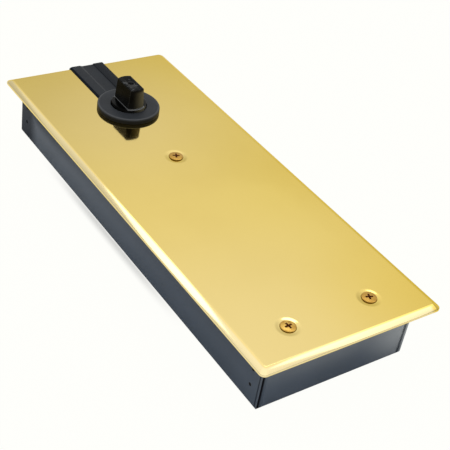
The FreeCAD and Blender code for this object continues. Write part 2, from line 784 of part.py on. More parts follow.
def far_lug_web(body, side):
    """Web from the drum to one of the far lugs, square to the line from the spindle."""
    away = "sqrt(Sizes.far_lug_x ^ 2 + Sizes.far_lug_y ^ 2)"
    across_x = f"(Sizes.lug_radius * 0.95 * Sizes.far_lug_y / {away})"
    across_y = f"(-Sizes.lug_radius * 0.95 * Sizes.far_lug_x / {away})"
    corners = []
    for share, sign in (("1", "+"), ("1", "-"), ("0.7", "-"), ("0.7", "+")):
        corners.append(
            (
                f"{share} * Sizes.far_lug_x {sign} {across_x}",
                f"{side} * ({share} * Sizes.far_lug_y {sign} {across_y})",
            )
        )
    pad(body, "XY_Plane", lambda s: outline(s, corners), BODY_BASE, LUG_TOP)


def body_holes(body):
    """Stud holes, the lid's screw holes, the cover's screw holes and the valve bores."""
    studs = new_sketch(body, "XY_Plane", "0")
    for x, y in lug_places():
        circle(studs, x, y, "Sizes.stud_radius + Sizes.stud_hole_gap")
    add(body, "Pocket", studs, f"{LUG_TOP} + 1", reverse=True)
    valves = new_sketch(body, "XY_Plane", f"{VALVE_TOP} - Sizes.valve_length - Sizes.valve_tip")
    for x in ("Sizes.closing_valve_x", "Sizes.latching_valve_x"):
        circle(valves, x, "Sizes.valve_y", "Sizes.valve_radius")
    add(body, "Pocket", valves, "Sizes.valve_length + Sizes.valve_tip + Sizes.valve_sunk", reverse=True)
    doc.recompute()
    screw_holes(body, PLATE_UNDER, "Sizes.screw_length")
    first = new_sketch(body, "XY_Plane", CHAMBER_TOP)
    circle(first, *FIRST_LID_SCREW, "Sizes.lid_screw_radius")
    depth = f"Sizes.lid_screw_length - ({LID_TOP} - {CHAMBER_TOP}) + 1"
    polar(body, add(body, "Pocket", first, depth), LID_SCREWS)


def chamber_lid():
    """Lid of the cam chamber: it carries the spindle's upper bearing and seal."""
    seal_bore = "(Sizes.journal_radius + Sizes.seal_wall)"
    lip_bore = "(Sizes.journal_radius + Sizes.lip_gap)"
    carrier = f"({CARRIER_BORE} + Sizes.carrier_wall)"
    body = turned(
        "chamber_lid",
        [
            (lip_bore, RACE_TOP), (CARRIER_BORE, RACE_TOP), (CARRIER_BORE, CARRIER_BASE),
            (carrier, CARRIER_BASE), (carrier, LID_BASE), (DRUM_RADIUS, LID_BASE),
            (DRUM_RADIUS, LID_TOP), ("Sizes.lid_boss_radius", LID_TOP),
            ("Sizes.lid_boss_radius", PLATE_UNDER), (seal_bore, PLATE_UNDER),
            (seal_bore, SEAL_BASE), (lip_bore, SEAL_BASE),
        ],
    )
    lid_screw_holes(body, LID_BASE, LID_TOP)
    return body


def lid_screw_holes(body, low, high):
    """Countersunk holes round the lid."""
    doc.recompute()
    sketch = new_sketch(body, "XY_Plane", high)
    circle(sketch, *FIRST_LID_SCREW, "Sizes.lid_screw_radius")
    hole = body.newObject("PartDesign::Hole", f"{body.Label}_holes")
    hole.Profile = sketch
    hole.Threaded = False
    hole.DepthType = "Dimension"
    hole.HoleCutType = "Countersink"
    hole.HoleCutCustomValues = True
    hole.setExpression("Diameter", "2 * (Sizes.lid_screw_radius + Sizes.screw_hole_gap)")
    hole.setExpression("Depth", f"{high} - {low} + 0.5")
    hole.setExpression("HoleCutDiameter", "2 * (Sizes.lid_head_radius + Sizes.screw_hole_gap)")
    hole.HoleCutCountersinkAngle = 90
    hole.DrillPoint = "Flat"
    doc.recompute()
    polar(body, hole, LID_SCREWS)


def lid_gasket():
    """Flat gasket between the chamber and its lid."""
    body = turned("lid_gasket", ring_section(CHAMBER_RADIUS, DRUM_RADIUS, CHAMBER_TOP, LID_BASE))
    first = new_sketch(body, "XY_Plane", CHAMBER_TOP)
    circle(first, *FIRST_LID_SCREW, "Sizes.lid_screw_radius + 2 * Sizes.screw_hole_gap")
    polar(body, add(body, "Pocket", first, "Sizes.gasket_thickness", reverse=True), LID_SCREWS)
    return body


def lid_screws():
    """Countersunk screws with a hexagon socket."""
    screw = new_body("lid_screw")
    shank = "(Sizes.lid_screw_radius - Sizes.fit_gap)"
    cone = f"(Sizes.lid_head_radius - {shank})"
    revolve(
        screw,
        [
            ("0", "-Sizes.lid_screw_length"), (shank, "-Sizes.lid_screw_length"),
            (shank, f"-{cone}"), ("Sizes.lid_head_radius", "0"), ("0", "0"),
        ],
    )
    cut(screw, "XY_Plane", lambda s: hexagon(s, "Sizes.lid_screw_radius * 0.6"), f"-{cone}", "1")
    return group("lid_screws", screw, around(LID_SCREWS, LID_SCREW_CIRCLE, LID_TOP, LID_SCREW_ANGLE))


def hexagon(sketch, half_flats):
    """Draws a hexagon round the sketch's origin with two of its sides along X."""
    corner = f"({half_flats}) / cos(30 deg)"
    angles = [60 * i for i in range(6)]
    outline(sketch, [(f"{corner} * cos({a} deg)", f"{corner} * sin({a} deg)") for a in angles])


def upper_race():
    """Outer race of the spindle's roller bearing."""
    return turned("upper_race", ring_section(RACE_RADIUS, CARRIER_BORE, RACE_BASE, RACE_TOP))


def upper_rollers():
    """Rollers between the race and the spindle's journal."""
    end = "Sizes.race_inset"
    roller = turned(
        "upper_roller",
        ring_section("0", "Sizes.roller_radius_upper", end, f"Sizes.race_length - {end}"),
    )
    circle_radius = "Sizes.journal_radius + Sizes.bearing_gap + Sizes.roller_radius_upper"
    return group("upper_rollers", roller, around(UPPER_ROLLERS, circle_radius, RACE_BASE))


def spindle_seal():
    """Lip seal on top of the bearing."""
    lip = "Sizes.journal_radius + Sizes.fit_gap"
    outer = "Sizes.journal_radius + Sizes.seal_wall"
    groove = "Sizes.journal_radius + Sizes.seal_wall / 2"
    high = f"{SEAL_BASE} + Sizes.seal_height * 0.9"
    return turned(
        "spindle_seal",
        [
            (groove, SEAL_BASE), (outer, SEAL_BASE), (outer, high), (lip, high),
            (lip, f"{high} - Sizes.seal_height / 4"), (groove, f"{high} - Sizes.seal_height / 4"),
        ],
    )


def thrust_washer(label, inner, low):
    """A washer of the bearing that carries the door's weight."""
    high = f"{low} + Sizes.thrust_washer"
    return turned(label, ring_section(inner, "Sizes.thrust_outer", low, high))


def thrust_balls():
    """Balls between the two thrust washers."""
    ball = doc.addObject("Part::Sphere", "thrust_ball")
    ball.setExpression("Radius", "Sizes.thrust_ball_radius")
    circle_radius = "(Sizes.thrust_outer + Sizes.stub_radius) / 2"
    height = f"{CHAMBER_FLOOR} + Sizes.thrust_washer + {BALL_SPACE} / 2"
    return group("thrust_balls", ball, around(THRUST_BALLS, circle_radius, height))


def spindle():
    """Spindle with a tapered flat sided head that carries the door's arm."""
    body = new_body("spindle")
    stub_low = f"{CHAMBER_FLOOR} - Sizes.stub_depth + Sizes.stub_gap"
    edge = "Sizes.drive_chamfer"
    revolve(
        body,
        [
            ("0", stub_low), ("Sizes.stub_radius", stub_low), ("Sizes.stub_radius", HUB_BASE),
            ("Sizes.cam_seat_radius", HUB_BASE), ("Sizes.cam_seat_radius", HUB_TOP),
            ("Sizes.journal_radius", HUB_TOP), ("Sizes.journal_radius", SHOULDER_BASE),
            ("Sizes.shoulder_radius", SHOULDER_BASE),
            ("Sizes.shoulder_radius", f"{SHOULDER_TOP} - {edge} / 2"),
            (f"Sizes.shoulder_radius - {edge} / 2", SHOULDER_TOP),
            ("Sizes.drive_base_radius", SHOULDER_TOP), ("Sizes.drive_top_radius", f"{DRIVE_TOP} - {edge}"),
            (f"Sizes.drive_top_radius - {edge}", DRIVE_TOP), ("0", DRIVE_TOP),
        ],
    )
    flats = new_sketch(body, "YZ_Plane", "-2 * Sizes.shoulder_radius")
    for side in ("1", "-1"):
        outline(
            flats,
            [
                (f"{side} * Sizes.drive_base_width / 2", SHOULDER_TOP),
                (f"{side} * (Sizes.shoulder_radius + 1)", SHOULDER_TOP),
                (f"{side} * (Sizes.shoulder_radius + 1)", f"{DRIVE_TOP} + 1"),
                (f"{side} * (Sizes.drive_top_width / 2 - {edge})", f"{DRIVE_TOP} + 1"),
                (f"{side} * (Sizes.drive_top_width / 2 - {edge})", DRIVE_TOP),
                (f"{side} * Sizes.drive_top_width / 2", f"{DRIVE_TOP} - {edge}"),
            ],
        )
    add(body, "Pocket", flats, "4 * Sizes.shoulder_radius", reverse=True)
    tapped_low = f"{DRIVE_TOP} - Sizes.tapped_depth"
    cut(body, "XY_Plane", lambda s: circle(s, "0", "0", "Sizes.tapped_radius"), tapped_low, DRIVE_TOP)
    keyway(body, "Sizes.cam_seat_radius - Sizes.key_rise", "Sizes.cam_seat_radius + 1")
    return body


def keyway(body, inner, outer):
    """Cuts the keyway on the side of the spindle away from the roller."""
    half = "Sizes.key_width / 2"
    cut(
        body, "XY_Plane",
        lambda s: rectangle(s, f"-({outer})", f"-({inner})", f"-{half}", half),
        HUB_BASE, HUB_TOP,
    )


def cam_key():
    """Key between the spindle and the cam."""
    body = new_body("cam_key")
    half = "Sizes.key_width / 2 - Sizes.fit_gap"
    outer = "Sizes.cam_seat_radius + Sizes.key_rise - Sizes.fit_gap"
    inner = "Sizes.cam_seat_radius - Sizes.key_rise"
    pad(
        body, "XY_Plane",
        lambda s: rectangle(s, f"-({outer})", f"-({inner})", f"-({half})", half),
        f"{HUB_BASE} + 2 * Sizes.fit_gap", f"{HUB_TOP} - 2 * Sizes.fit_gap",
    )
    return body


def heart_outline():
    """Outline of the heart cam: the roller's path drawn in by its radius and the working gap.

    The roller's path is a spiral each way from the notch, so the piston moves in step with
    the spindle's angle.
    """
    distance = number("Sizes.roller_distance")
    reach = number("Sizes.roller_radius + Sizes.cam_gap")
    rate = number("Sizes.cam_lift") / math.radians(number("Sizes.opening_angle"))
    last = math.radians(number("Sizes.opening_angle + Sizes.cam_overrun"))
    flank = []
    for i in range(FLANK_POINTS):
        angle = last * i / (FLANK_POINTS - 1)
        radius = distance + rate * angle
        centre = Vector(radius * math.cos(angle), radius * math.sin(angle), 0)
        slope = math.hypot(rate, radius)
        inward = Vector(
            -(rate * math.sin(angle) + radius * math.cos(angle)) / slope,
            (rate * math.cos(angle) - radius * math.sin(angle)) / slope,
            0,
        )
        flank.append(centre + inward * reach)
    other = [Vector(point.x, -point.y, 0) for point in flank]
    curves = []
    for points in (flank, other):
        curve = Part.BSplineCurve()
        curve.interpolate(points)
        curves.append(curve.toShape())
    notch = Part.Arc(other[0], Vector(distance - reach, 0, 0), flank[0]).toShape()
    back = Part.Arc(flank[-1], Vector(-flank[-1].Length, 0, 0), other[-1]).toShape()
    return Part.Wire(Part.__sortEdges__([notch, curves[0], back, curves[1]]))


def cam():
    """Heart shaped cam with a hub, keyed to the spindle."""
    profile = doc.addObject("Part::Feature", "cam_profile")
    thickness = number("Sizes.cam_thickness")
    profile.Shape = Part.Face(heart_outline()).extrude(Vector(0, 0, thickness))
    place(profile, z=f"{BORE_HEIGHT} - Sizes.cam_thickness / 2")
    hub = turned("cam_hub", ring_section("0", "Sizes.hub_radius", HUB_BASE, HUB_TOP))
    solid = doc.addObject("Part::MultiFuse", "cam_solid")
    solid.Shapes = [profile, hub]
    bore = new_body("cam_bore")
    radius = "Sizes.cam_seat_radius + Sizes.fit_gap"
    revolve(bore, ring_section("0", radius, f"{HUB_BASE} - 1", f"{HUB_TOP} + 1"))
    half = "Sizes.key_width / 2"
    outer = "(Sizes.cam_seat_radius + Sizes.key_rise)"
    pad(
        bore, "XY_Plane",
        lambda s: rectangle(s, f"-{outer}", "0", f"-{half}", half),
        f"{HUB_BASE} - 1", f"{HUB_TOP} + 1",
    )
    item = doc.addObject("Part::Cut", "cam")
    item.Label = "cam"
    item.Base = solid
    item.Tool = bore
    return item


def piston():
    """Piston with a fork for the roller, a ring groove and a check valve seat."""
    body = new_body("piston")
    groove_end = f"({PISTON_BACK} - Sizes.ring_from_back)"
    groove_start = f"({groove_end} - Sizes.ring_width)"
    bottom = f"({PISTON_RADIUS} - Sizes.ring_depth)"
    edge = "Sizes.drive_chamfer"
    revolve(
        body,
        [
            (FORK_TIP_X, "0"), (FORK_TIP_X, PISTON_RADIUS), (groove_start, PISTON_RADIUS),
            (groove_start, bottom), (groove_end, bottom), (groove_end, PISTON_RADIUS),
            (f"{PISTON_BACK} - {edge}", PISTON_RADIUS), (PISTON_BACK, f"{PISTON_RADIUS} - {edge}"),
            (PISTON_BACK, "0"),
        ],
        axis="H_Axis",
    )
    reach = f"2 * {PISTON_RADIUS}"
    slot_end = "Sizes.roller_distance + Sizes.fork_back"
    half_slot = "Sizes.hub_height / 2"
    cut(
        body, "XY_Plane",
        lambda s: rectangle(s, f"{FORK_TIP_X} - 1", slot_end, f"-{reach}", reach),
        f"-{half_slot}", half_slot,
    )
    for low, high in (("Sizes.fork_half", reach), (f"-{reach}", "-Sizes.fork_half")):
        cut(
            body, "XY_Plane",
            lambda s: rectangle(s, f"{FORK_TIP_X} - 1", SKIRT_START, f"-{reach}", reach),
            low, high,
        )
    cut(
        body, "XY_Plane",
        lambda s: circle(s, "Sizes.roller_distance", "0", "Sizes.pin_radius"),
        "-Sizes.fork_half - 1", "Sizes.fork_half + 1",
    )
    seat_start = f"{PISTON_BACK} - Sizes.valve_seat_depth"
    cut(body, "YZ_Plane", lambda s: circle(s, "0", "0", "Sizes.valve_seat_radius"), seat_start, PISTON_BACK)
    cut(
        body, "YZ_Plane",
        lambda s: circle(s, "0", "0", "Sizes.oilway_radius"),
        f"{slot_end} - 1", seat_start,
    )
    place(body, z=BORE_HEIGHT)
    return body


def piston_ring():
    """Sealing ring in the piston's groove."""
    groove_end = f"({PISTON_BACK} - Sizes.ring_from_back - Sizes.fit_gap)"
    groove_start = f"({PISTON_BACK} - Sizes.ring_from_back - Sizes.ring_width + Sizes.fit_gap)"
    low = f"{PISTON_RADIUS} - Sizes.ring_depth + Sizes.fit_gap"
    high = f"{PISTON_RADIUS} + Sizes.running_gap / 2"
    ring = turned("piston_ring", ring_section_x(groove_start, groove_end, low, high), axis="H_Axis")
    place(ring, z=BORE_HEIGHT)
    return ring


def ring_section_x(start, end, inner, outer):
    """Half of the section of a plain ring about the X axis."""
    return [(start, inner), (end, inner), (end, outer), (start, outer)]


def check_valve():
    """Check valve's retainer in the back of the piston."""
    end = f"({PISTON_BACK} - Sizes.fit_gap)"
    start = f"({PISTON_BACK} - Sizes.valve_seat_depth / 2)"
    outer = "Sizes.valve_seat_radius - Sizes.fit_gap"
    section = ring_section_x(start, end, "Sizes.oilway_radius", outer)
    retainer = turned("check_valve", section, axis="H_Axis")
    place(retainer, z=BORE_HEIGHT)
    return retainer


def check_ball():
    """Ball of the check valve, on the seat in the piston."""
    ball = doc.addObject("Part::Sphere", "check_ball")
    ball.Label = "check_ball"
    ball.setExpression("Radius", "Sizes.valve_ball_radius")
    seat = f"{PISTON_BACK} - Sizes.valve_seat_depth"
    drop = "sqrt(Sizes.valve_ball_radius ^ 2 - Sizes.oilway_radius ^ 2)"
    place(ball, x=f"{seat} + {drop} + Sizes.fit_gap", z=BORE_HEIGHT)
    return ball


def cam_roller():
    """Roller that the cam pushes."""
    half = "Sizes.roller_height / 2"
    edge = "Sizes.drive_chamfer"
    bore = "Sizes.pin_radius + Sizes.running_gap"
    roller = turned(
        "cam_roller",
        [
            (bore, f"-{half}"), (f"Sizes.roller_radius - {edge}", f"-{half}"),
            ("Sizes.roller_radius", f"{edge} - {half}"), ("Sizes.roller_radius", f"{half} - {edge}"),
            (f"Sizes.roller_radius - {edge}", half), (bore, half),
        ],
    )
    place(roller, x="Sizes.roller_distance", z=BORE_HEIGHT)
    return roller


def roller_pin():
    """Pin of the roller, pressed through both arms of the fork."""
    radius = "Sizes.pin_radius - Sizes.fit_gap / 2"
    pin = turned("roller_pin", ring_section("0", radius, "-Sizes.fork_half", "Sizes.fork_half"))
    place(pin, x="Sizes.roller_distance", z=BORE_HEIGHT)
    return pin


def arc_between(start, heading, end):
    """The arc that leaves start along heading and reaches end."""
    chord = end - start
    along = Vector(chord).normalize()
    across = heading - along * heading.dot(along)
    bend = math.atan2(across.Length, heading.dot(along))
    middle = (start + end) * 0.5 + across.normalize() * (chord.Length / 2 * math.tan(bend / 2))
    return Part.Arc(start, middle, end).toShape()


def biarc(start, start_heading, end, end_heading):
    """Two tangent arcs from one point and heading to another."""
    gap = end - start
    headings = start_heading + end_heading
    turn = 2 * (1 - start_heading.dot(end_heading))
    along = gap.dot(headings)
    reach = (math.sqrt(along ** 2 + turn * gap.dot(gap)) - along) / turn
    joint = (start + end + (start_heading - end_heading) * reach) * 0.5
    back = arc_between(end, end_heading * -1, joint)
    return [arc_between(start, start_heading, joint), back]


def spring_point(turn, radius, length, turns, end_pitch):
    """A point of the spring's centre line, with one closer turn at each end."""
    pitch = (length - 2 * end_pitch) / (turns - 2)
    open_turns = min(max(turn - 1, 0), turns - 2)
    along = pitch * open_turns + end_pitch * (turn - open_turns)
    angle = 2 * math.pi * turn
    return Vector(along, radius * math.cos(angle), radius * math.sin(angle))


def main_spring():
    """Closing spring: one wire, wound from the piston's back to the spring seat."""
    wire = number("Sizes.wire_radius")
    gap = number("Sizes.cam_gap")
    radius = number("Sizes.bore_radius - Sizes.spring_wall_gap") - wire
    start = number(PISTON_BACK) + wire + gap
    length = number(SEAT_FACE) - wire - gap - start
    turns = int(number("Sizes.spring_turns"))
    end_pitch = 2 * wire + number("Sizes.spring_end_gap")
    steps = turns * SPRING_SPANS
    small = 1e-4

    def centre(turn):
        return spring_point(turn, radius, length, turns, end_pitch)

    points = [centre(i / SPRING_SPANS) for i in range(steps + 1)]
    headings = []
    for i in range(steps + 1):
        turn = i / SPRING_SPANS
        before, after = max(turn - small, 0.0), min(turn + small, float(turns))
        headings.append((centre(after) - centre(before)).normalize())
    edges = []
    for i in range(steps):
        edges += biarc(points[i], headings[i], points[i + 1], headings[i + 1])
    path = Part.Wire(Part.__sortEdges__(edges))
    section = Part.Wire(Part.Circle(points[0], headings[0], wire).toShape())
    report_spring(points, wire)
    spring = doc.addObject("Part::Feature", "main_spring")
    spring.Shape = path.makePipeShell([section], True, False)
    place(spring, x=str(start), z=BORE_HEIGHT)
    return spring


def report_spring(points, wire):
    """Prints the least gap between neighbouring turns."""
    least = min(
        (points[i + SPRING_SPANS] - points[i]).Length for i in range(len(points) - SPRING_SPANS)
    )
    print(f"least gap of the spring to itself {least - 2 * wire:.2f} mm")


def spring_seat():
    """Washer between the spring and the end plug."""
    outer = "Sizes.bore_radius - Sizes.running_gap"
    seat = turned(
        "spring_seat",
        ring_section_x(SEAT_FACE, PLUG_FACE, "Sizes.bore_radius / 2", outer),
        axis="H_Axis",
    )
    place(seat, z=BORE_HEIGHT)
    return seat


def end_plug():
    """Screwed plug of the cylinder with a groove for its seal and a hexagon socket."""
    body = new_body("end_plug")
    radius = "(Sizes.bore_radius - Sizes.fit_gap)"
    groove = f"({BODY_END} - Sizes.seal_width)"
    face = f"({BODY_END} + Sizes.plug_flange)"
    edge = "Sizes.drive_chamfer"
    revolve(
        body,
        [
            (PLUG_FACE, "0"), (PLUG_FACE, radius), (f"{groove} - Sizes.seal_width", radius),
            (f"{groove} - Sizes.seal_width", f"{radius} - Sizes.seal_depth"),
            (groove, f"{radius} - Sizes.seal_depth"), (groove, radius), (BODY_END, radius),
            (BODY_END, "Sizes.plug_flange_radius"), (f"{face} - {edge}", "Sizes.plug_flange_radius"),
            (face, f"Sizes.plug_flange_radius - {edge}"), (face, "0"),
        ],
        axis="H_Axis",
    )
    cut(
        body, "YZ_Plane",
        lambda s: hexagon(s, "Sizes.plug_socket / 2"),
        f"{face} - Sizes.plug_socket_depth", face,
    )
    place(body, z=BORE_HEIGHT)
    return body


def plug_seal():
    """Seal in the plug's groove."""
    end = f"({BODY_END} - Sizes.seal_width - Sizes.fit_gap)"
    start = f"({BODY_END} - 2 * Sizes.seal_width + Sizes.fit_gap)"
    inner = "Sizes.bore_radius - Sizes.seal_depth"
    outer = "Sizes.bore_radius - Sizes.fit_gap / 2"
    seal = turned("plug_seal", ring_section_x(start, end, inner, outer), axis="H_Axis")
    place(seal, z=BORE_HEIGHT)
    return seal


def speed_valve(label, x):
    """A needle screw that sets a closing speed, with a driver slot."""
    radius = "(Sizes.valve_radius - Sizes.running_gap)"
    body = new_body(label)
    revolve(
        body,
        [
            ("0", "-Sizes.valve_length - Sizes.valve_tip + Sizes.running_gap"),
            (radius, "-Sizes.valve_length"), (radius, "-Sizes.drive_chamfer"),
            (f"{radius} - Sizes.drive_chamfer", "0"), ("0", "0"),
        ],
    )
    half = "Sizes.valve_slot / 2"
    reach = "Sizes.valve_radius + 1"
    cut(
        body, "XY_Plane",
        lambda s: rectangle(s, f"-({reach})", reach, f"-{half}", half),
        "-Sizes.valve_slot", "1",
    )
    place(body, x, "Sizes.valve_y", VALVE_TOP)
    return body


def fixing_studs():
    """Studs welded to the box's floor."""
    stud = turned("fixing_stud", ring_section("0", "Sizes.stud_radius", "0", "Sizes.stud_length"))
    return group("fixing_studs", stud, [(x, y, "Sizes.box_sheet") for x, y in lug_places()])


def fixing_washers():
    """Washers on the lugs."""
    inner = "Sizes.stud_radius + Sizes.running_gap"
    washer = turned(
        "fixing_washer",
        ring_section(inner, "Sizes.washer_radius", "0", "Sizes.washer_thickness"),
    )
    return group("fixing_washers", washer, [(x, y, LUG_TOP) for x, y in lug_places()])


def fixing_nuts():
    """Hexagon nuts on the studs."""
    nut = new_body("fixing_nut")
    pad(nut, "XY_Plane", lambda s: hexagon(s, "Sizes.nut_flats / 2"), "0", "Sizes.nut_height")
    bore = "Sizes.stud_radius + Sizes.fit_gap"
    cut(nut, "XY_Plane", lambda s: circle(s, "0", "0", bore), "0", "Sizes.nut_height")
    height = f"{LUG_TOP} + Sizes.washer_thickness"
    return group("fixing_nuts", nut, [(x, y, height) for x, y in lug_places()])


def build():
    """Builds every sub-part and returns them in the order in which they are put together."""
    washer_low = f"{CHAMBER_FLOOR} + Sizes.thrust_washer + {BALL_SPACE}"
    return [
        cement_box(),
        fixing_studs(),
        closer_body(),
        fixing_washers(),
        fixing_nuts(),
        thrust_washer("thrust_washer_lower", "Sizes.stub_radius + Sizes.stub_gap", CHAMBER_FLOOR),
        thrust_balls(),
        thrust_washer("thrust_washer_upper", "Sizes.stub_radius + Sizes.fit_gap", washer_low),
        spindle(),
        cam_key(),
        cam(),
        piston(),
        piston_ring(),
        check_ball(),
        check_valve(),
        cam_roller(),
        roller_pin(),
        main_spring(),
        spring_seat(),
        end_plug(),
        plug_seal(),
        speed_valve("closing_valve", "Sizes.closing_valve_x"),
        speed_valve("latching_valve", "Sizes.latching_valve_x"),
        lid_gasket(),
        chamber_lid(),
        lid_screws(),
        upper_race(),
        upper_rollers(),
        spindle_seal(),
        cover_plate(),
        slot_filler(),
        spindle_ring(),
        cover_screws(),
    ]


def check(items):
    """Stops the build if any object failed or any sub-part is not a valid solid."""
    for item in doc.Objects:
        if "Invalid" in item.State or "Error" in item.State:
            raise RuntimeError(f"{item.Name} failed: {item.State}")
    for item in items:
        if item.Shape.isNull() or not item.Shape.isValid() or not item.Shape.Solids:
            raise RuntimeError(f"{item.Label} is not a valid solid")


def export(items):
    """Writes each sub-part to its own file."""
    os.makedirs("parts", exist_ok=True)
    for item in items:
        item.Shape.exportStep(f"parts/{item.Label}.step")


parts = build()
doc.recompute()
check(parts)
export(parts)
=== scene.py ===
"""Looks of the floor spring: its polished cover, black fittings, screws, box and studio.

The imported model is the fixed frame. The pieces that show are built again with rounded edges and
finer detail, and every node of the frame gets a finish of its own.
"""

import json
import logging
import math
from dataclasses import dataclass
from enum import Enum

import bmesh
import bpy
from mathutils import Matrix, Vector


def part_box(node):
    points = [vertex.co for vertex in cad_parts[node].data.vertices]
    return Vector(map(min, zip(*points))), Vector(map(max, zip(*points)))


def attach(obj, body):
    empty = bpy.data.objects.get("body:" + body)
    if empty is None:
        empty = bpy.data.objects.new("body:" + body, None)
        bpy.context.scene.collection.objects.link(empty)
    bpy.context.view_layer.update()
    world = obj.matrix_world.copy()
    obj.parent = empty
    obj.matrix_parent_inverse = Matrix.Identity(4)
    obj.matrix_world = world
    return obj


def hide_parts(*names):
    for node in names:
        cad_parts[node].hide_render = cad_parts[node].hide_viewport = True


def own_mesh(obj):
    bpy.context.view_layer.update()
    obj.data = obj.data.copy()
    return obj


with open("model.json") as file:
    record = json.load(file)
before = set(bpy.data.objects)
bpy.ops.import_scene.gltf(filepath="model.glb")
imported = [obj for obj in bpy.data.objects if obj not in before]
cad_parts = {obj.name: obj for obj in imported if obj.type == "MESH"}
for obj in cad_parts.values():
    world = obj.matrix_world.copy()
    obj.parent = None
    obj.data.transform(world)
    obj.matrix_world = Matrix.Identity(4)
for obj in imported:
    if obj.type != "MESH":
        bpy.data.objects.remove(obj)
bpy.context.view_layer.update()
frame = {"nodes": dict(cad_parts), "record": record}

LOG = logging.getLogger("floor_spring")
MM = 0.001
Point = tuple[float, float]
Triple = tuple[float, float, float]
Rounding = tuple[float, int, float]


@dataclass(frozen=True)
class Span:
    """Lowest and highest corner of a frame node, in millimetres."""

    low: Vector
    high: Vector

    @classmethod
    def of(cls, node: str) -> "Span":
        """Reads a node's box from the frame."""
        low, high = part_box(node)
        return cls(Vector(low) / MM, Vector(high) / MM)


COVER = Span.of("cover_plate")
BOX = Span.of("cement_box")
FILLER = Span.of("slot_filler")
RING = Span.of("spindle_ring")
SPINDLE = Span.of("spindle")
SCREWS = Span.of("cover_screws")
SPRING = Span.of("main_spring")
SCREW_HEAD = 4.85


class Body(Enum):
    """Bodies that the pieces ride on."""

    HOUSING = "housing"
    SPINDLE = "spindle"


class Slot(Enum):
    """Material slots of the record."""

    BRASS_PLATE = "brass_plate"
    BRASS_SCREW = "brass_screw"
    BOX_PAINT = "box_paint"
    BLACK_PART = "black_part"
    SPINDLE_STEEL = "spindle_steel"
    CAST_BODY = "cast_body"
    ZINC_STEEL = "zinc_steel"
    BRIGHT_STEEL = "bright_steel"
    SEAL_RUBBER = "seal_rubber"


class Wire:
    """A socket of a node tree that Python's operators can work on."""

    def __init__(self, sheet: "NodeSheet", socket: bpy.types.NodeSocket) -> None:
        """Keeps the sheet that new nodes are added to and an output socket of it."""
        self.sheet = sheet
        self.socket = socket

    def carries_vector(self) -> bool:
        """Whether the socket is a vector or a colour."""
        return self.socket.type in {"VECTOR", "RGBA"}

    def combine(self, operation: str, other: "Wire | float | tuple", swapped: bool = False) -> "Wire":
        """Joins this socket and another value by one operation.

        Args:
            operation: The operation's name in a Math or Vector Math node.
            other: The other side, a wire, a number or a vector.
            swapped: Whether the other side comes first.

        Returns:
            The result's wire.
        """
        sides = (other, self) if swapped else (self, other)
        vector = self.carries_vector() or (isinstance(other, Wire) and other.carries_vector())
        if vector:
            sides = tuple((s, s, s) if isinstance(s, (int, float)) else s for s in sides)
        kind = "ShaderNodeVectorMath" if vector else "ShaderNodeMath"
        return self.sheet.node(kind, {"operation": operation}, dict(enumerate(sides)))

    def __add__(self, other: "Wire | float | tuple") -> "Wire":
        """Sum."""
        return self.combine("ADD", other)

    def __sub__(self, other: "Wire | float | tuple") -> "Wire":
        """Difference."""
        return self.combine("SUBTRACT", other)

    def __rsub__(self, other: "float | tuple") -> "Wire":
        """Difference, with the wire on the right."""
        return self.combine("SUBTRACT", other, swapped=True)

    def __mul__(self, other: "Wire | float | tuple") -> "Wire":
        """Product."""
        return self.combine("MULTIPLY", other)

    def highest(self, other: "Wire | float") -> "Wire":
        """The larger of this and another value."""
        return self.combine("MAXIMUM", other)

    def unsigned(self) -> "Wire":
        """The value without its sign."""
        return self.sheet.node("ShaderNodeMath", {"operation": "ABSOLUTE"}, {0: self})


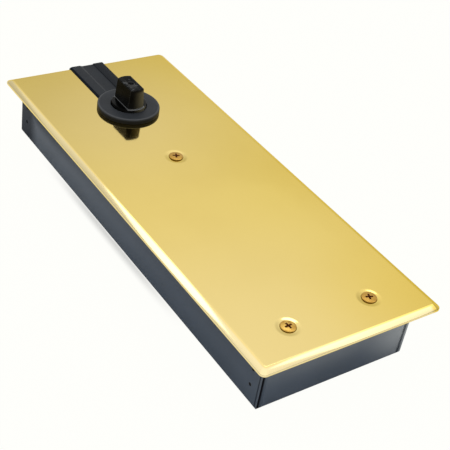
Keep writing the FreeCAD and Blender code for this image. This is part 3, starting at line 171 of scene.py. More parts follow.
class NodeSheet:
    """The nodes of one material, world or geometry tree, written as calls."""

    BEVEL_SAMPLES = 6
    EDGE_LIMITS = (0.995, 0.86)

    def __init__(self, tree: bpy.types.NodeTree) -> None:
        """Empties a node tree and takes it over."""
        self.tree = tree
        tree.nodes.clear()

    def node(
        self, kind: str, settings: dict | None = None, sockets: dict | None = None, out: str | int = 0
    ) -> Wire:
        """Adds one node.

        Args:
            kind: The node's type.
            settings: Its settings; the key stops holds a ramp's positions and colours.
            sockets: Values or wires of its inputs, by name, identifier or number.
            out: The output that is wanted, by name, identifier or number.

        Returns:
            The wire of that output.
        """
        made = self.tree.nodes.new(kind)
        for name, value in (settings or {}).items():
            if name == "stops":
                self.fill_ramp(made.color_ramp, value)
            else:
                setattr(made, name, value)
        for name, value in (sockets or {}).items():
            socket = self.find(made.inputs, name)
            if isinstance(value, Wire):
                self.tree.links.new(value.socket, socket)
            elif socket.type == "RGBA" and len(value) == 3:
                socket.default_value = (*value, 1.0)
            else:
                socket.default_value = value
        return Wire(self, self.find(made.outputs, out))

    @staticmethod
    def find(sockets: bpy.types.bpy_prop_collection, key: str | int) -> bpy.types.NodeSocket:
        """Finds a socket.

        Args:
            sockets: A node's inputs or outputs.
            key: Its number, identifier or name.

        Returns:
            The socket.
        """
        if isinstance(key, int):
            return sockets[key]
        return next((s for s in sockets if s.identifier == key), None) or sockets[key]

    @staticmethod
    def fill_ramp(ramp: bpy.types.ColorRamp, stops: tuple[tuple[float, Triple], ...]) -> None:
        """Sets the stops of a colour ramp.

        Args:
            ramp: The ramp.
            stops: Positions and colours, in rising order.
        """
        while len(ramp.elements) < len(stops):
            ramp.elements.new(1.0)
        for element, (place, colour) in zip(ramp.elements, stops):
            element.position = place
            element.color = (*colour, 1.0)

    def end(self, kind: str, result: Wire, socket: str) -> None:
        """Ends the tree in an output node.

        Args:
            kind: The output node's type.
            result: What goes into it.
            socket: The name of its input.
        """
        output = self.tree.nodes.new(kind)
        self.tree.links.new(result.socket, output.inputs[socket])

    def place(self, stretch: Triple = (1.0, 1.0, 1.0)) -> Wire:
        """Object coordinates, stretched along each axis."""
        where = self.node("ShaderNodeTexCoord", out="Object")
        return self.node("ShaderNodeMapping", None, {"Vector": where, "Scale": stretch})

    def axis(self, name: str) -> Wire:
        """One of the object coordinates X, Y and Z."""
        return self.node("ShaderNodeSeparateXYZ", None, {0: self.place()}, name)

    def length(self, vector: Wire) -> Wire:
        """A vector's length."""
        return self.node("ShaderNodeVectorMath", {"operation": "LENGTH"}, {0: vector}, "Value")

    def dot(self, first: Wire, second: "Wire | Triple") -> Wire:
        """The dot product of two vectors."""
        sockets = {0: first, 1: second}
        return self.node("ShaderNodeVectorMath", {"operation": "DOT_PRODUCT"}, sockets, "Value")

    def away(self, spot: Point = (0.0, 0.0)) -> Wire:
        """Distance from an upright line through a spot in millimetres."""
        return self.length(self.place((1.0, 1.0, 0.0)) - (spot[0] * MM, spot[1] * MM, 0.0))

    def noise(self, scale: float, detail: float, stretch: Triple = (1.0, 1.0, 1.0)) -> Wire:
        """Soft noise from 0 to 1.

        Args:
            scale: Waves in one metre.
            detail: Octaves of finer noise.
            stretch: Factor for each axis.

        Returns:
            The noise's wire.
        """
        sockets = {"Vector": self.place(stretch), "Scale": scale, "Detail": detail}
        return self.node("ShaderNodeTexNoise", None, sockets)

    def ease(self, value: Wire, low: float, high: float, start: float = 0.0, end: float = 1.0) -> Wire:
        """Runs smoothly from one value to another as the input passes between two limits.

        Args:
            value: The input.
            low: Where the change begins.
            high: Where it ends.
            start: The result below the first limit.
            end: The result above the second limit.

        Returns:
            The eased wire.
        """
        sockets = {"Value": value, "From Min": low, "From Max": high, "To Min": start, "To Max": end}
        return self.node("ShaderNodeMapRange", {"interpolation_type": "SMOOTHSTEP"}, sockets)

    def mask(self, axis: str, limits: Point, start: float = 0.0, end: float = 1.0) -> Wire:
        """Runs smoothly from one value to another along an axis.

        Args:
            axis: The axis, X, Y or Z.
            limits: Where the change begins and ends, in millimetres.
            start: The result below the first limit.
            end: The result above the second limit.

        Returns:
            The mask's wire.
        """
        return self.ease(self.axis(axis), *(v * MM for v in limits), start, end)

    def blend(self, factor: Wire, first: "Wire | Triple", second: "Wire | Triple") -> Wire:
        """Mixes two colours.

        Args:
            factor: Share of the second colour.
            first: The first colour.
            second: The second colour.

        Returns:
            The mixed colour.
        """
        sockets = {"Factor_Float": factor, "A_Color": first, "B_Color": second}
        return self.node("ShaderNodeMix", {"data_type": "RGBA"}, sockets, "Result_Color")

    def scaled(self, colour: Wire, level: Wire) -> Wire:
        """A colour made darker or brighter by a level."""
        return self.node("ShaderNodeVectorMath", {"operation": "SCALE"}, {0: colour, "Scale": level})

    def mixed(self, share: Wire, first: Wire, second: Wire) -> Wire:
        """Two shaders mixed, by the share of the second."""
        return self.node("ShaderNodeMixShader", None, {0: share, 1: first, 2: second})

    def flattened(self, share: Wire, shader: Wire, black: Triple) -> Wire:
        """A shader with dull black mixed in as painted shade, by its share."""
        return self.mixed(share, shader, self.node("ShaderNodeBsdfDiffuse", None, {"Color": black}))

    def rounded_normal(self, radius: float) -> Wire:
        """The surface's normal with its sharp edges rounded off, radius in metres."""
        return self.node("ShaderNodeBevel", {"samples": self.BEVEL_SAMPLES}, {"Radius": radius})

    def edges(self, radius: float) -> Wire:
        """A mask that is high near sharp edges, as far as a radius in metres."""
        true_normal = self.node("ShaderNodeNewGeometry", out="Normal")
        return self.ease(self.dot(self.rounded_normal(radius), true_normal), *self.EDGE_LIMITS)

    def bump(self, height: Wire, normal: Wire) -> Wire:
        """A normal bent by a height in metres."""
        sockets = {"Strength": 1.0, "Distance": 1.0, "Height": height, "Normal": normal}
        return self.node("ShaderNodeBump", None, sockets)


@dataclass(frozen=True)
class Finish:
    """A finish with mottled colour, rubbed edges and a grain.

    Lengths are in millimetres.
    """

    name: str
    colour: Triple
    shade: Triple
    rubbed: Triple
    metallic: float = 0.0
    roughness: float = 0.4
    roughness_spread: float = 0.08
    rubbed_roughness: float = 0.3
    rubbed_share: float = 0.6
    rubbed_least: float = 0.0
    edge_reach: float = 0.5
    edge_round: float = 0.25
    mottle: float = 40.0
    cloud_limits: Point = (0.3, 0.7)
    fine_scale: float = 9.0
    breaks_scale: float = 6.0
    breaks_limits: Point = (0.35, 0.65)
    grain: float = 2500.0
    grain_depth: float = 0.004
    wave: float = 0.0
    wave_depth: float = 0.0
    streak: float = 0.0
    streak_depth: float = 0.0
    streak_stretch: Triple = (0.03, 1.0, 1.0)
    specular: float = 0.5
    edge_tint: Triple = (1.0, 1.0, 1.0)

    def material(self) -> bpy.types.Material:
        """Builds the finish's material once.

        Returns:
            The material.
        """
        known = bpy.data.materials.get(self.name)
        if known is not None:
            return known
        made = bpy.data.materials.new(self.name)
        made.use_nodes = True
        sheet = NodeSheet(made.node_tree)
        breaks = sheet.noise(self.mottle * self.breaks_scale, 3.0)
        edge = sheet.edges(self.edge_reach * MM)
        edge = edge * sheet.ease(breaks, *self.breaks_limits, self.rubbed_least, self.rubbed_share)
        colour, roughness = self.skin(sheet, edge)
        sockets = {
            "Base Color": colour,
            "Roughness": roughness,
            "Metallic": self.metal(sheet, edge),
            "Specular IOR Level": self.specular,
            "Specular Tint": self.edge_tint,
            "Normal": sheet.bump(self.height(sheet), sheet.rounded_normal(self.edge_round * MM)),
        }
        shader = self.with_painted_shade(sheet, sheet.node("ShaderNodeBsdfPrincipled", None, sockets))
        sheet.end("ShaderNodeOutputMaterial", shader, "Surface")
        return made

    def skin(self, sheet: NodeSheet, edge: Wire) -> tuple[Wire, Wire]:
        """The colour and roughness over the surface.

        Args:
            sheet: The material's nodes.
            edge: Mask of the rubbed edges.

        Returns:
            The colour's wire and the roughness's wire.
        """
        cloud = sheet.ease(sheet.noise(self.mottle, 4.0), *self.cloud_limits)
        fine = sheet.noise(self.mottle * self.fine_scale, 3.0)
        colour = sheet.blend(edge, sheet.blend(cloud, self.shade, self.colour), self.rubbed)
        plain = (cloud + fine - 1.0) * self.roughness_spread + self.roughness
        return self.paint(sheet, colour), plain + edge * (self.rubbed_roughness - self.roughness)

    def paint(self, sheet: NodeSheet, colour: Wire) -> Wire:
        """The colour as it is: a finish with patches of its own lays them on here."""
        return colour

    def with_painted_shade(self, sheet: NodeSheet, shader: Wire) -> Wire:
        """The shader as it is: a finish with painted shade mixes its dead black in here."""
        return shader

    def metal(self, sheet: NodeSheet, edge: Wire) -> "Wire | float":
        """How metallic the surface is, a value for all of it or a wire."""
        return self.metallic

    def height(self, sheet: NodeSheet) -> Wire:
        """The grain, waves and streaks as a height in metres.

        Args:
            sheet: The material's nodes.

        Returns:
            The height's wire.
        """
        height = sheet.noise(self.grain, 3.0) * (self.grain_depth * MM)
        if self.wave_depth:
            height = height + sheet.noise(self.wave, 1.0) * (self.wave_depth * MM)
        if self.streak_depth:
            height = height + sheet.noise(self.streak, 2.0, self.streak_stretch) * (self.streak_depth * MM)
        return height


@dataclass(frozen=True)
class PlateFinish(Finish):
    """Polished brass sheet, drawn in a little round its countersunk screw holes.

    Each patch is a painted reflection: a place, a reach, the most of its brass that shows there and that
    brass's colour.
    """

    hole_places: tuple[Point, ...] = ()
    dish_inner: float = 4.6
    dish_outer: float = 8.3
    dish_depth: float = 0.42
    # Painted reflection: paler brass where the plate mirrors brighter light, deeper brass where it mirrors
    # dimmer light.
    patches: tuple[tuple[Point, float, float, Triple], ...] = (
        ((5.0, -15.0), 150.0, 0.85, (0.865, 0.685, 0.30)),
        ((250.0, -70.0), 220.0, 0.82, (0.865, 0.685, 0.30)),
        ((255.0, 68.0), 100.0, 0.6, (0.80, 0.57, 0.10)),
    )
    # Painted highlight: pale brass on the bevels that face the light, all but the right one.
    rim: Triple = (0.88, 0.735, 0.40)
    rim_height: Point = (COVER.high.z - 0.7, COVER.high.z - 0.2)
    rim_side: Point = (COVER.high.y - 8.0, COVER.high.y - 5.0)

    def paint(self, sheet: NodeSheet, colour: Wire) -> Wire:
        """Lays on the painted reflection of the paler and the deeper patches, and the painted highlight of
        pale brass on the bevels that face the light.

        Args:
            sheet: The material's nodes.
            colour: The plain brass.

        Returns:
            The colour's wire.
        """
        # Painted reflection patches.
        for spot, reach, most, tone in self.patches:
            colour = sheet.blend(sheet.ease(sheet.away(spot), 0.0, reach * MM, most, 0.0), colour, tone)
        # Painted highlight on the bevels that face the light.
        lit = sheet.mask("Z", self.rim_height, 1.0, 0.0) * sheet.mask("Y", self.rim_side, 1.0, 0.0)
        return sheet.blend(lit, colour, self.rim)

    def height(self, sheet: NodeSheet) -> Wire:
        """The polish's waves and the dishes round the holes.

        Args:
            sheet: The material's nodes.

        Returns:
            The height in metres.
        """
        total = super().height(sheet)
        limits = (self.dish_inner * MM, self.dish_outer * MM)
        for spot in self.hole_places:
            total = total + sheet.ease(sheet.away(spot), *limits, -self.dish_depth * MM, 0.0)
        return total


@dataclass(frozen=True)
class BoxFinish(Finish):
    """Satin paint of the box, with painted shade at its far end and in its slits and folds, a painted shadow
    under the rim, and painted sheen in places.

    Each painted sheen spot is a point, its reach along each axis and the most of the sheen colour that
    shows.
    """

    # Dead black of the painted shade and the painted shadow.
    black: Triple = (0.006, 0.006, 0.008)
    # Painted shade at the far end.
    far_shade: float = 0.68
    far_limits: Point = (-49.0, -33.0)
    # Painted shadow under the plate's rim on the left wall.
    under_rim_shadow: float = 0.6
    under_rise: Point = (15.0, 27.0)
    under_length: Point = (-45.0, 70.0)
    under_least: float = 0.3
    left_wall: Point = (BOX.low.y + 0.1, BOX.low.y + 0.3)
    # Painted sheen: a paler colour where the walls would catch more light.
    painted_sheen: Triple = (0.30, 0.32, 0.33)
    painted_sheen_spots: tuple[tuple[Triple, Triple, float], ...] = ()
    # Painted shade in the slits at the left corners, and along the fold at the near one.
    slit: Point = (BOX.low.y + 0.35, BOX.low.y + 2.1)
    slit_soft: Point = (0.1, 1.0)
    fold: Point = (BOX.high.x - 2.4, BOX.high.x - 1.0)
    fold_soft: float = 0.4
    fold_shade: float = 0.7

    def painted_shade_places(self, sheet: NodeSheet) -> Wire:
        """A mask of painted shade in the slits and folds at the left corners and at the far end, and of the
        painted shadow under the rim.

        Args:
            sheet: The material's nodes.

        Returns:
            The mask, from 0 to 1.
        """
        front, back = self.slit
        slit = sheet.mask("Y", (front - self.slit_soft[0], front))
        slit = slit * sheet.mask("Y", (back, back + self.slit_soft[1]), 1.0, 0.0)
        start, end = self.fold
        fold = sheet.mask("X", (start, start + self.fold_soft), 0.0, self.fold_shade)
        fold = fold * sheet.mask("X", (end - self.fold_soft, end), 1.0, 0.0)
        fold = fold * sheet.mask("Y", (front, front + self.slit_soft[0]), 1.0, 0.0)
        far = sheet.mask("X", self.far_limits, self.far_shade, 0.0)
        under = sheet.mask("Z", self.under_rise, 0.0, self.under_rim_shadow)
        under = under * sheet.mask("X", self.under_length, 1.0, self.under_least)
        under = under * sheet.mask("Y", self.left_wall, 1.0, 0.0)
        return slit.highest(fold).highest(far).highest(under)

    def paint(self, sheet: NodeSheet, colour: Wire) -> Wire:
        """Lays on the painted sheen spots.

        Args:
            sheet: The material's nodes.
            colour: The plain paint.

        Returns:
            The colour's wire.
        """
        for place, reach, most in self.painted_sheen_spots:
            offset = (sheet.place() - tuple(v * MM for v in place)) * tuple(1.0 / (v * MM) for v in reach)
            colour = sheet.blend(sheet.ease(sheet.length(offset), 0.0, 1.0, most, 0.0), colour, self.painted_sheen)
        return colour

    def with_painted_shade(self, sheet: NodeSheet, shader: Wire) -> Wire:
        """The paint with dead black mixed in as painted shade and painted shadow."""
        return sheet.flattened(self.painted_shade_places(sheet), shader, self.black)


@dataclass(frozen=True)
class FillerFinish(Finish):
    """Dull black of the slot filler, with painted shade on the slope along its left side and on its right
    strip.
    """

    # Painted shade: dead black on the slope along the left side.
    slope_limits: Point = (-12.7, -12.0)
    slope_shade: float = 0.95
    # Painted shade: darker on the right strip.
    right_limits: Point = (5.2, 5.8)
    right_level: float = 0.6
    right_shade: float = 0.4

    def paint(self, sheet: NodeSheet, colour: Wire) -> Wire:
        """The black, darkened on its right side as painted shade."""
        return sheet.scaled(colour, sheet.mask("Y", self.right_limits, 1.0, self.right_level))

    def with_painted_shade(self, sheet: NodeSheet, shader: Wire) -> Wire:
        """The satin with the dead black of the painted shade on its slope and on its right side.

        Args:
            sheet: The material's nodes.
            shader: The satin.

        Returns:
            The mixed shader.
        """
        slope = sheet.mask("Y", self.slope_limits, self.slope_shade, 0.0)
        right = sheet.mask("Y", self.right_limits, 0.0, self.right_shade)
        return sheet.flattened(slope.highest(right), shader, self.shade)


@dataclass(frozen=True)
class RingFinish(Finish):
    """Satin black of the ring, with a painted highlight along its rounded rim and painted shade on its side.
    """

    # Painted highlight along the ring's rounded outer rim.
    painted_highlight: Triple = (0.11, 0.115, 0.12)
    highlight_share: float = 0.5
    highlight_rise: Point = (RING.high.x - 1.7, RING.high.x - 0.9)
    highlight_fall: Point = (RING.high.x - 0.5, RING.high.x - 0.1)
    # Painted shade on the ring's side, below its rim.
    shaded_side_height: Point = (RING.high.z - 1.7, RING.high.z - 0.8)
    side_level: float = 0.4

    def paint(self, sheet: NodeSheet, colour: Wire) -> Wire:
        """Lays on the painted highlight of the rim and the painted shade of the side.

        Args:
            sheet: The material's nodes.
            colour: The plain black.

        Returns:
            The colour's wire.
        """
        away = sheet.away()
        band = sheet.ease(away, *(v * MM for v in self.highlight_rise), 0.0, self.highlight_share)
        band = band * sheet.ease(away, *(v * MM for v in self.highlight_fall), 1.0, 0.0)
        level = sheet.mask("Z", self.shaded_side_height, self.side_level, 1.0)
        return sheet.scaled(sheet.blend(band, colour, self.painted_highlight), level)


@dataclass(frozen=True)
class ScrewFinish(Finish):
    """Brass of the screws, with painted shade on the far and the right screws and on the side of the head
    above the plate.
    """

    # Painted shade on the side of the head above the plate.
    side: Triple = (0.30, 0.20, 0.035)
    shaded_side_height: Point = (COVER.high.z + 0.34, COVER.high.z + 0.46)
    # Painted shade on the far and the right screws.
    shaded_brass: Triple = (0.50, 0.27, 0.052)
    shaded_brass_limits: Point = (-32.0, -12.0)
    shaded_brass_share: float = 0.6

    def paint(self, sheet: NodeSheet, colour: Wire) -> Wire:
        """Lays on the painted shade of the far and the right screws and of the head's side."""
        colour = sheet.blend(sheet.mask("Y", self.shaded_brass_limits, 0.0, self.shaded_brass_share), colour, self.shaded_brass)
        return sheet.blend(sheet.mask("Z", self.shaded_side_height, 1.0, 0.0), colour, self.side)


@dataclass(frozen=True)
class SpindleFinish(Finish):
    """Blacked steel: lighter metal on the shoulder's ledge at the round ends, painted shade on it beside the
    flats, marks and painted sheen on the top, and a painted highlight on one round end.
    """

    # Lighter metal on the shoulder's ledge at the round ends; beside the flats the ledge takes the shade
    # colour as painted shade.
    ledge: Triple = (0.17, 0.175, 0.18)
    ledge_height: float = COVER.high.z + 5.8
    ledge_reach: float = 0.45
    ledge_core: float = 0.6
    ledge_side: Point = (6.8, 7.1)
    # Light marks on the top: partly rubbed marks, partly painted sheen.
    marks: Triple = (0.11, 0.115, 0.12)
    marks_share: float = 0.6
    marks_scale: float = 420.0
    marks_limits: Point = (0.54, 0.66)
    marks_height: Point = (SPINDLE.high.z - 0.4, SPINDLE.high.z - 0.1)
    # Painted highlight on the right of the near round end.
    painted_highlight: Triple = (0.20, 0.18, 0.115)
    highlight_limits: Point = (-4.0, 6.0)
    highlight_height: Point = (SPINDLE.high.z - 3.0, SPINDLE.high.z - 0.5)
    highlight_share: float = 0.55
    bare: float = 0.9

    def ledge_masks(self, sheet: NodeSheet) -> tuple[Wire, Wire]:
        """Masks of the lighter ledge at the round ends and of the painted shade on the ledge beside the
        flats.

        Args:
            sheet: The material's nodes.

        Returns:
            The mask of the lighter ledge and the mask of its painted shade.
        """
        away = (sheet.axis("Z") - self.ledge_height * MM).unsigned()
        level = sheet.ease(away, self.ledge_reach * MM * self.ledge_core, self.ledge_reach * MM, 1.0, 0.0)
        inner = sheet.ease(sheet.axis("Y").unsigned(), *(v * MM for v in self.ledge_side), 1.0, 0.0)
        return level * inner, level * (1.0 - inner)

    def paint(self, sheet: NodeSheet, colour: Wire) -> Wire:
        """Lays on the rubbed marks and painted sheen of the top, the painted highlight of one round end, and
        the ledge with its painted shade.

        Args:
            sheet: The material's nodes.
            colour: The plain blacking.

        Returns:
            The colour's wire.
        """
        # Rubbed marks and painted sheen on the top.
        patches = sheet.ease(sheet.noise(self.marks_scale, 3.0), *self.marks_limits)
        top = sheet.mask("Z", self.marks_height, 0.0, self.marks_share)
        colour = sheet.blend(top * patches, colour, self.marks)
        # Painted highlight on the near round end.
        painted_highlight = sheet.mask("X", (0.0, self.highlight_limits[1]))
        painted_highlight = painted_highlight * sheet.mask("Y", self.highlight_limits, 0.0, self.highlight_share)
        colour = sheet.blend(painted_highlight * sheet.mask("Z", self.highlight_height, 1.0, 0.0), colour, self.painted_highlight)
        # The ledge beside the flats takes the shade colour as painted shade.
        bright, dark = self.ledge_masks(sheet)
        return sheet.blend(dark, sheet.blend(bright, colour, self.ledge), self.shade)

    def metal(self, sheet: NodeSheet, edge: Wire) -> Wire:
        """Bare steel on the lighter ledge and the rubbed edges, and dead black metal as painted shade on the
        ledge beside the flats.
        """
        bright, dark = self.ledge_masks(sheet)
        return (bright * self.bare).highest(dark).highest(edge * self.bare)


SCREW_PLACES: tuple[Point, ...] = (
    (SCREWS.low.x + SCREW_HEAD, 0.0),
    (SCREWS.high.x - SCREW_HEAD, SCREWS.high.y - SCREW_HEAD),
    (SCREWS.high.x - SCREW_HEAD, SCREWS.low.y + SCREW_HEAD),
)
SATIN_BLACK = {
    "roughness": 0.42, "rubbed_roughness": 0.36, "mottle": 70.0, "grain": 3500.0, "grain_depth": 0.008,
    "edge_reach": 0.4, "edge_round": 0.15,
}

BRASS_PLATE = PlateFinish(
    "polished_brass", colour=(0.86, 0.655, 0.180), shade=(0.81, 0.605, 0.155), rubbed=(0.93, 0.80, 0.42),
    edge_tint=(0.92, 0.77, 0.30), metallic=1.0, roughness=0.08, roughness_spread=0.02, rubbed_roughness=0.14,
    rubbed_share=0.5, edge_reach=0.4, edge_round=0.2, mottle=14.0, grain=900.0, grain_depth=0.0003,
    wave=22.0, wave_depth=0.05, streak=900.0, streak_depth=0.0004, hole_places=SCREW_PLACES,
)
BRASS_SCREW = ScrewFinish(
    "brass_screw_head", colour=(0.74, 0.48, 0.115), shade=(0.54, 0.30, 0.060), rubbed=(0.90, 0.70, 0.32),
    metallic=1.0, roughness=0.28, mottle=500.0, grain=4000.0, grain_depth=0.002, edge_reach=0.25,
    edge_round=0.08,
)
SCREW_RECESS = Finish(
    "screw_recess", colour=(0.26, 0.080, 0.018), shade=(0.17, 0.048, 0.010), rubbed=(0.40, 0.17, 0.045),
    metallic=0.5, roughness=0.55, mottle=900.0, grain=6000.0, grain_depth=0.01, edge_reach=0.15,
    edge_round=0.05,
)
BOX_PAINT = BoxFinish(
    "box_paint_satin", colour=(0.047, 0.068, 0.101), shade=(0.036, 0.055, 0.083), rubbed=(0.16, 0.17, 0.19),
    specular=0.34, roughness=0.32, roughness_spread=0.06, rubbed_share=0.55, mottle=28.0, grain=1600.0,
    grain_depth=0.006, wave=60.0, wave_depth=0.03, edge_reach=0.7, edge_round=0.35,
    # Painted sheen spots on the left wall and on the near wall.
    painted_sheen_spots=(
        ((-5.0, BOX.low.y, 22.0), (170.0, 20.0, 60.0), 0.14),
        ((BOX.high.x, 5.0, 46.0), (8.0, 130.0, 38.0), 0.62),
        ((BOX.high.x, 58.0, 26.0), (8.0, 42.0, 38.0), 1.0),
    ),
)
BLACK_PART = Finish(
    "black_part_satin", colour=(0.040, 0.044, 0.050), shade=(0.028, 0.031, 0.036),
    rubbed=(0.13, 0.135, 0.14), specular=0.11, rubbed_share=0.7, **SATIN_BLACK,
)
RING_BLACK = RingFinish(
    "ring_black_satin", colour=(0.034, 0.038, 0.044), shade=(0.024, 0.027, 0.032),
    rubbed=(0.13, 0.135, 0.14), specular=0.10, **SATIN_BLACK,
)
FILLER_BLACK = FillerFinish(
    "filler_black_satin", colour=(0.018, 0.022, 0.028), shade=(0.011, 0.014, 0.019),
    rubbed=(0.030, 0.034, 0.040), specular=0.13, **SATIN_BLACK,
)
SPINDLE_STEEL = SpindleFinish(
    "blacked_spindle_steel", colour=(0.008, 0.008, 0.008), shade=(0.004, 0.004, 0.004),
    rubbed=(0.24, 0.25, 0.26), roughness=0.22, roughness_spread=0.06, rubbed_share=0.9,
    rubbed_least=0.45, mottle=120.0, grain=1800.0,
    grain_depth=0.003, edge_round=0.15, specular=0.04,
)
# Near-black of the weld spots: painted shade of their dimples.
SPOT_PAINTED_SHADE = Finish(
    "weld_spot_painted_shade", colour=(0.006, 0.007, 0.009), shade=(0.003, 0.003, 0.004), rubbed=(0.05, 0.055, 0.06),
    specular=0.15, roughness=0.5, mottle=400.0,
)
# Near-black in the spindle's tapped hole: painted shade.
HOLE_PAINTED_SHADE = Finish(
    "thread_hole_painted_shade", colour=(0.004, 0.004, 0.004), shade=(0.002, 0.002, 0.002), rubbed=(0.03, 0.03, 0.03),
    roughness=0.5, mottle=300.0,
)
CAST_IRON = Finish(
    "cast_iron_grey", colour=(0.115, 0.12, 0.125), shade=(0.07, 0.072, 0.075), rubbed=(0.30, 0.30, 0.30),
    metallic=0.6, roughness=0.58, mottle=60.0, grain=900.0, grain_depth=0.08, wave=250.0, wave_depth=0.1,
)
ZINC_STEEL = Finish(
    "zinc_plated_steel", colour=(0.56, 0.57, 0.58), shade=(0.44, 0.45, 0.46), rubbed=(0.70, 0.70, 0.70),
    metallic=1.0, roughness=0.34, mottle=90.0, grain=2200.0,
)
BRIGHT_STEEL = Finish(
    "ground_bright_steel", colour=(0.66, 0.66, 0.67), shade=(0.58, 0.58, 0.59), rubbed=(0.78, 0.78, 0.78),
    metallic=1.0, roughness=0.16, mottle=150.0, grain=5000.0, grain_depth=0.0008, streak=2500.0,
    streak_depth=0.002,
)
SEAL_RUBBER = Finish(
    "seal_rubber_black", colour=(0.020, 0.020, 0.021), shade=(0.012, 0.012, 0.012),
    rubbed=(0.05, 0.05, 0.05), roughness=0.62, mottle=120.0, grain=3000.0, grain_depth=0.01,
)

SLOT_FINISHES: dict[Slot, Finish] = {
    Slot.BRASS_PLATE: BRASS_PLATE,
    Slot.BRASS_SCREW: BRASS_SCREW,
    Slot.BOX_PAINT: BOX_PAINT,
    Slot.BLACK_PART: BLACK_PART,
    Slot.SPINDLE_STEEL: SPINDLE_STEEL,
    Slot.CAST_BODY: CAST_IRON,
    Slot.ZINC_STEEL: ZINC_STEEL,
    Slot.BRIGHT_STEEL: BRIGHT_STEEL,
    Slot.SEAL_RUBBER: SEAL_RUBBER,
}


def fillet(
    points: list[Point], radii: tuple[float, ...], steps: int = 4, closed: bool = True
) -> list[Point]:
    """Rounds the corners of a line of points.

    Args:
        points: The corners.
        radii: The radius at each corner, 0 for a sharp one.
        steps: Spans in each rounded corner.
        closed: Whether the line closes on itself.

    Returns:
        The points of the rounded line.
    """
    most = 0.49
    count = len(points)
    result: list[Point] = []
    for i, (corner, radius) in enumerate(zip(points, radii)):
        if radius <= 0.0 or (not closed and i in {0, count - 1}):
            result.append(corner)
            continue
        here = Vector(corner)
        back = Vector(points[i - 1]) - here
        ahead = Vector(points[(i + 1) % count]) - here
        half = back.angle(ahead) / 2.0
        reach = min(radius / math.tan(half), back.length * most, ahead.length * most)
        centre = here + (back.normalized() + ahead.normalized()).normalized() * (reach / math.cos(half))
        first = here + back.normalized() * reach - centre
        last = here + ahead.normalized() * reach - centre
        sweep = first.angle_signed(last)
        start = math.atan2(first.y, first.x)
        for step in range(steps + 1):
            angle = start - sweep * step / steps
            x = centre.x + first.length * math.cos(angle)
            result.append((x, centre.y + first.length * math.sin(angle)))
    return result


def rectangle(low: Point, high: Point) -> list[Point]:
    """Corners of a rectangle, given by its lowest and its highest corner."""
    return [low, (high[0], low[1]), high, (low[0], high[1])]


class Shell:
    """A mesh built up from loops of points in millimetres."""

    WELD = 1e-7
    ON_AXIS = 1e-6

    def __init__(self) -> None:
        """Starts an empty mesh."""
        self.mesh = bmesh.new()

    def loop(self, points: list[Triple]) -> list[bmesh.types.BMVert]:
        """Adds a closed loop of vertices, without edges."""
        return [self.mesh.verts.new(Vector(p) * MM) for p in points]

    @classmethod
    def lofted(cls, name: str, loops: list[list[Triple]]) -> bpy.types.Mesh:
        """Skins a row of loops with as many points each, and closes both ends.

        Args:
            name: The mesh's name.
            loops: The loops, from one end to the other.

        Returns:
            The mesh.
        """
        shell = cls()
        rings = [shell.loop(points) for points in loops]
        for low, high in zip(rings, rings[1:]):
            count = len(low)
            for i in range(count):
                j = (i + 1) % count
                shell.mesh.faces.new((low[i], low[j], high[j], high[i]))
        shell.mesh.faces.new(list(reversed(rings[0])))
        shell.mesh.faces.new(rings[-1])
        return shell.finished(name)

    @classmethod
    def turned(
        cls, name: str, profile: list[Point], spans: int, centre: Point = (0.0, 0.0)
    ) -> bpy.types.Mesh:
        """Turns a closed profile of radius and height about an upright axis.

        Args:
            name: The mesh's name.
            profile: Radius and height of each point.
            spans: Spans round the axis.
            centre: The axis's x and y.

        Returns:
            The mesh.
        """
        shell = cls()
        turn = [2.0 * math.pi * i / spans for i in range(spans)]
        x, y = centre
        rings = []
        for radius, height in profile:
            if radius < cls.ON_AXIS:
                rings.append(shell.loop([(*centre, height)]) * spans)
                continue
            spots = [(x + radius * math.cos(a), y + radius * math.sin(a), height) for a in turn]
            rings.append(shell.loop(spots))
        for low, high in zip(rings, rings[1:] + rings[:1]):
            for i in range(spans):
                j = (i + 1) % spans
                corners = list(dict.fromkeys((low[i], low[j], high[j], high[i])))
                if len(corners) > 2:
                    shell.mesh.faces.new(corners)
        return shell.finished(name)

    @classmethod
    def drawn(cls, name: str, section: list[Point], far: float, near: float) -> bpy.types.Mesh:
        """Draws a section of y and z along x.

        Args:
            name: The mesh's name.
            section: The section's points.
            far: Lowest x.
            near: Highest x.

        Returns:
            The mesh.
        """
        return cls.lofted(name, [[(x, y, z) for y, z in section] for x in (far, near)])

    def finished(self, name: str) -> bpy.types.Mesh:
        """Turns the faces outwards and gives the mesh, shaded smooth.

        Args:
            name: The mesh's name.

        Returns:
            The mesh.
        """
        bmesh.ops.remove_doubles(self.mesh, verts=self.mesh.verts, dist=self.WELD)
        bmesh.ops.recalc_face_normals(self.mesh, faces=self.mesh.faces)
        result = bpy.data.meshes.new(name)
        self.mesh.to_mesh(result)
        self.mesh.free()
        result.shade_smooth()
        return result


def new_object(name: str, data: bpy.types.ID) -> bpy.types.Object:
    """Puts a mesh, a lamp or a camera in the scene as an object at the origin."""
    made = bpy.data.objects.new(name, data)
    bpy.context.scene.collection.objects.link(made)
    return made


def settle(made: bpy.types.Object) -> None:
    """Turns an object's modifiers into plain mesh and removes them.

    Args:
        made: The object.
    """
    bpy.context.view_layer.update()
    result = bpy.data.meshes.new_from_object(made.evaluated_get(bpy.context.evaluated_depsgraph_get()))
    made.modifiers.clear()
    made.data = result


def combine(made: bpy.types.Object, other: bpy.types.Mesh, operation: str = "DIFFERENCE") -> None:
    """Cuts another mesh out of an object, or joins it on.

    Args:
        made: The object that is changed.
        other: The mesh to cut away or to join.
        operation: DIFFERENCE to cut, UNION to join.
    """
    tool = new_object("tool", other)
    change = made.modifiers.new("change", "BOOLEAN")
    change.operation = operation
    change.solver = "EXACT"
    change.material_mode = "TRANSFER"
    change.object = tool
    settle(made)
    bpy.data.objects.remove(tool)


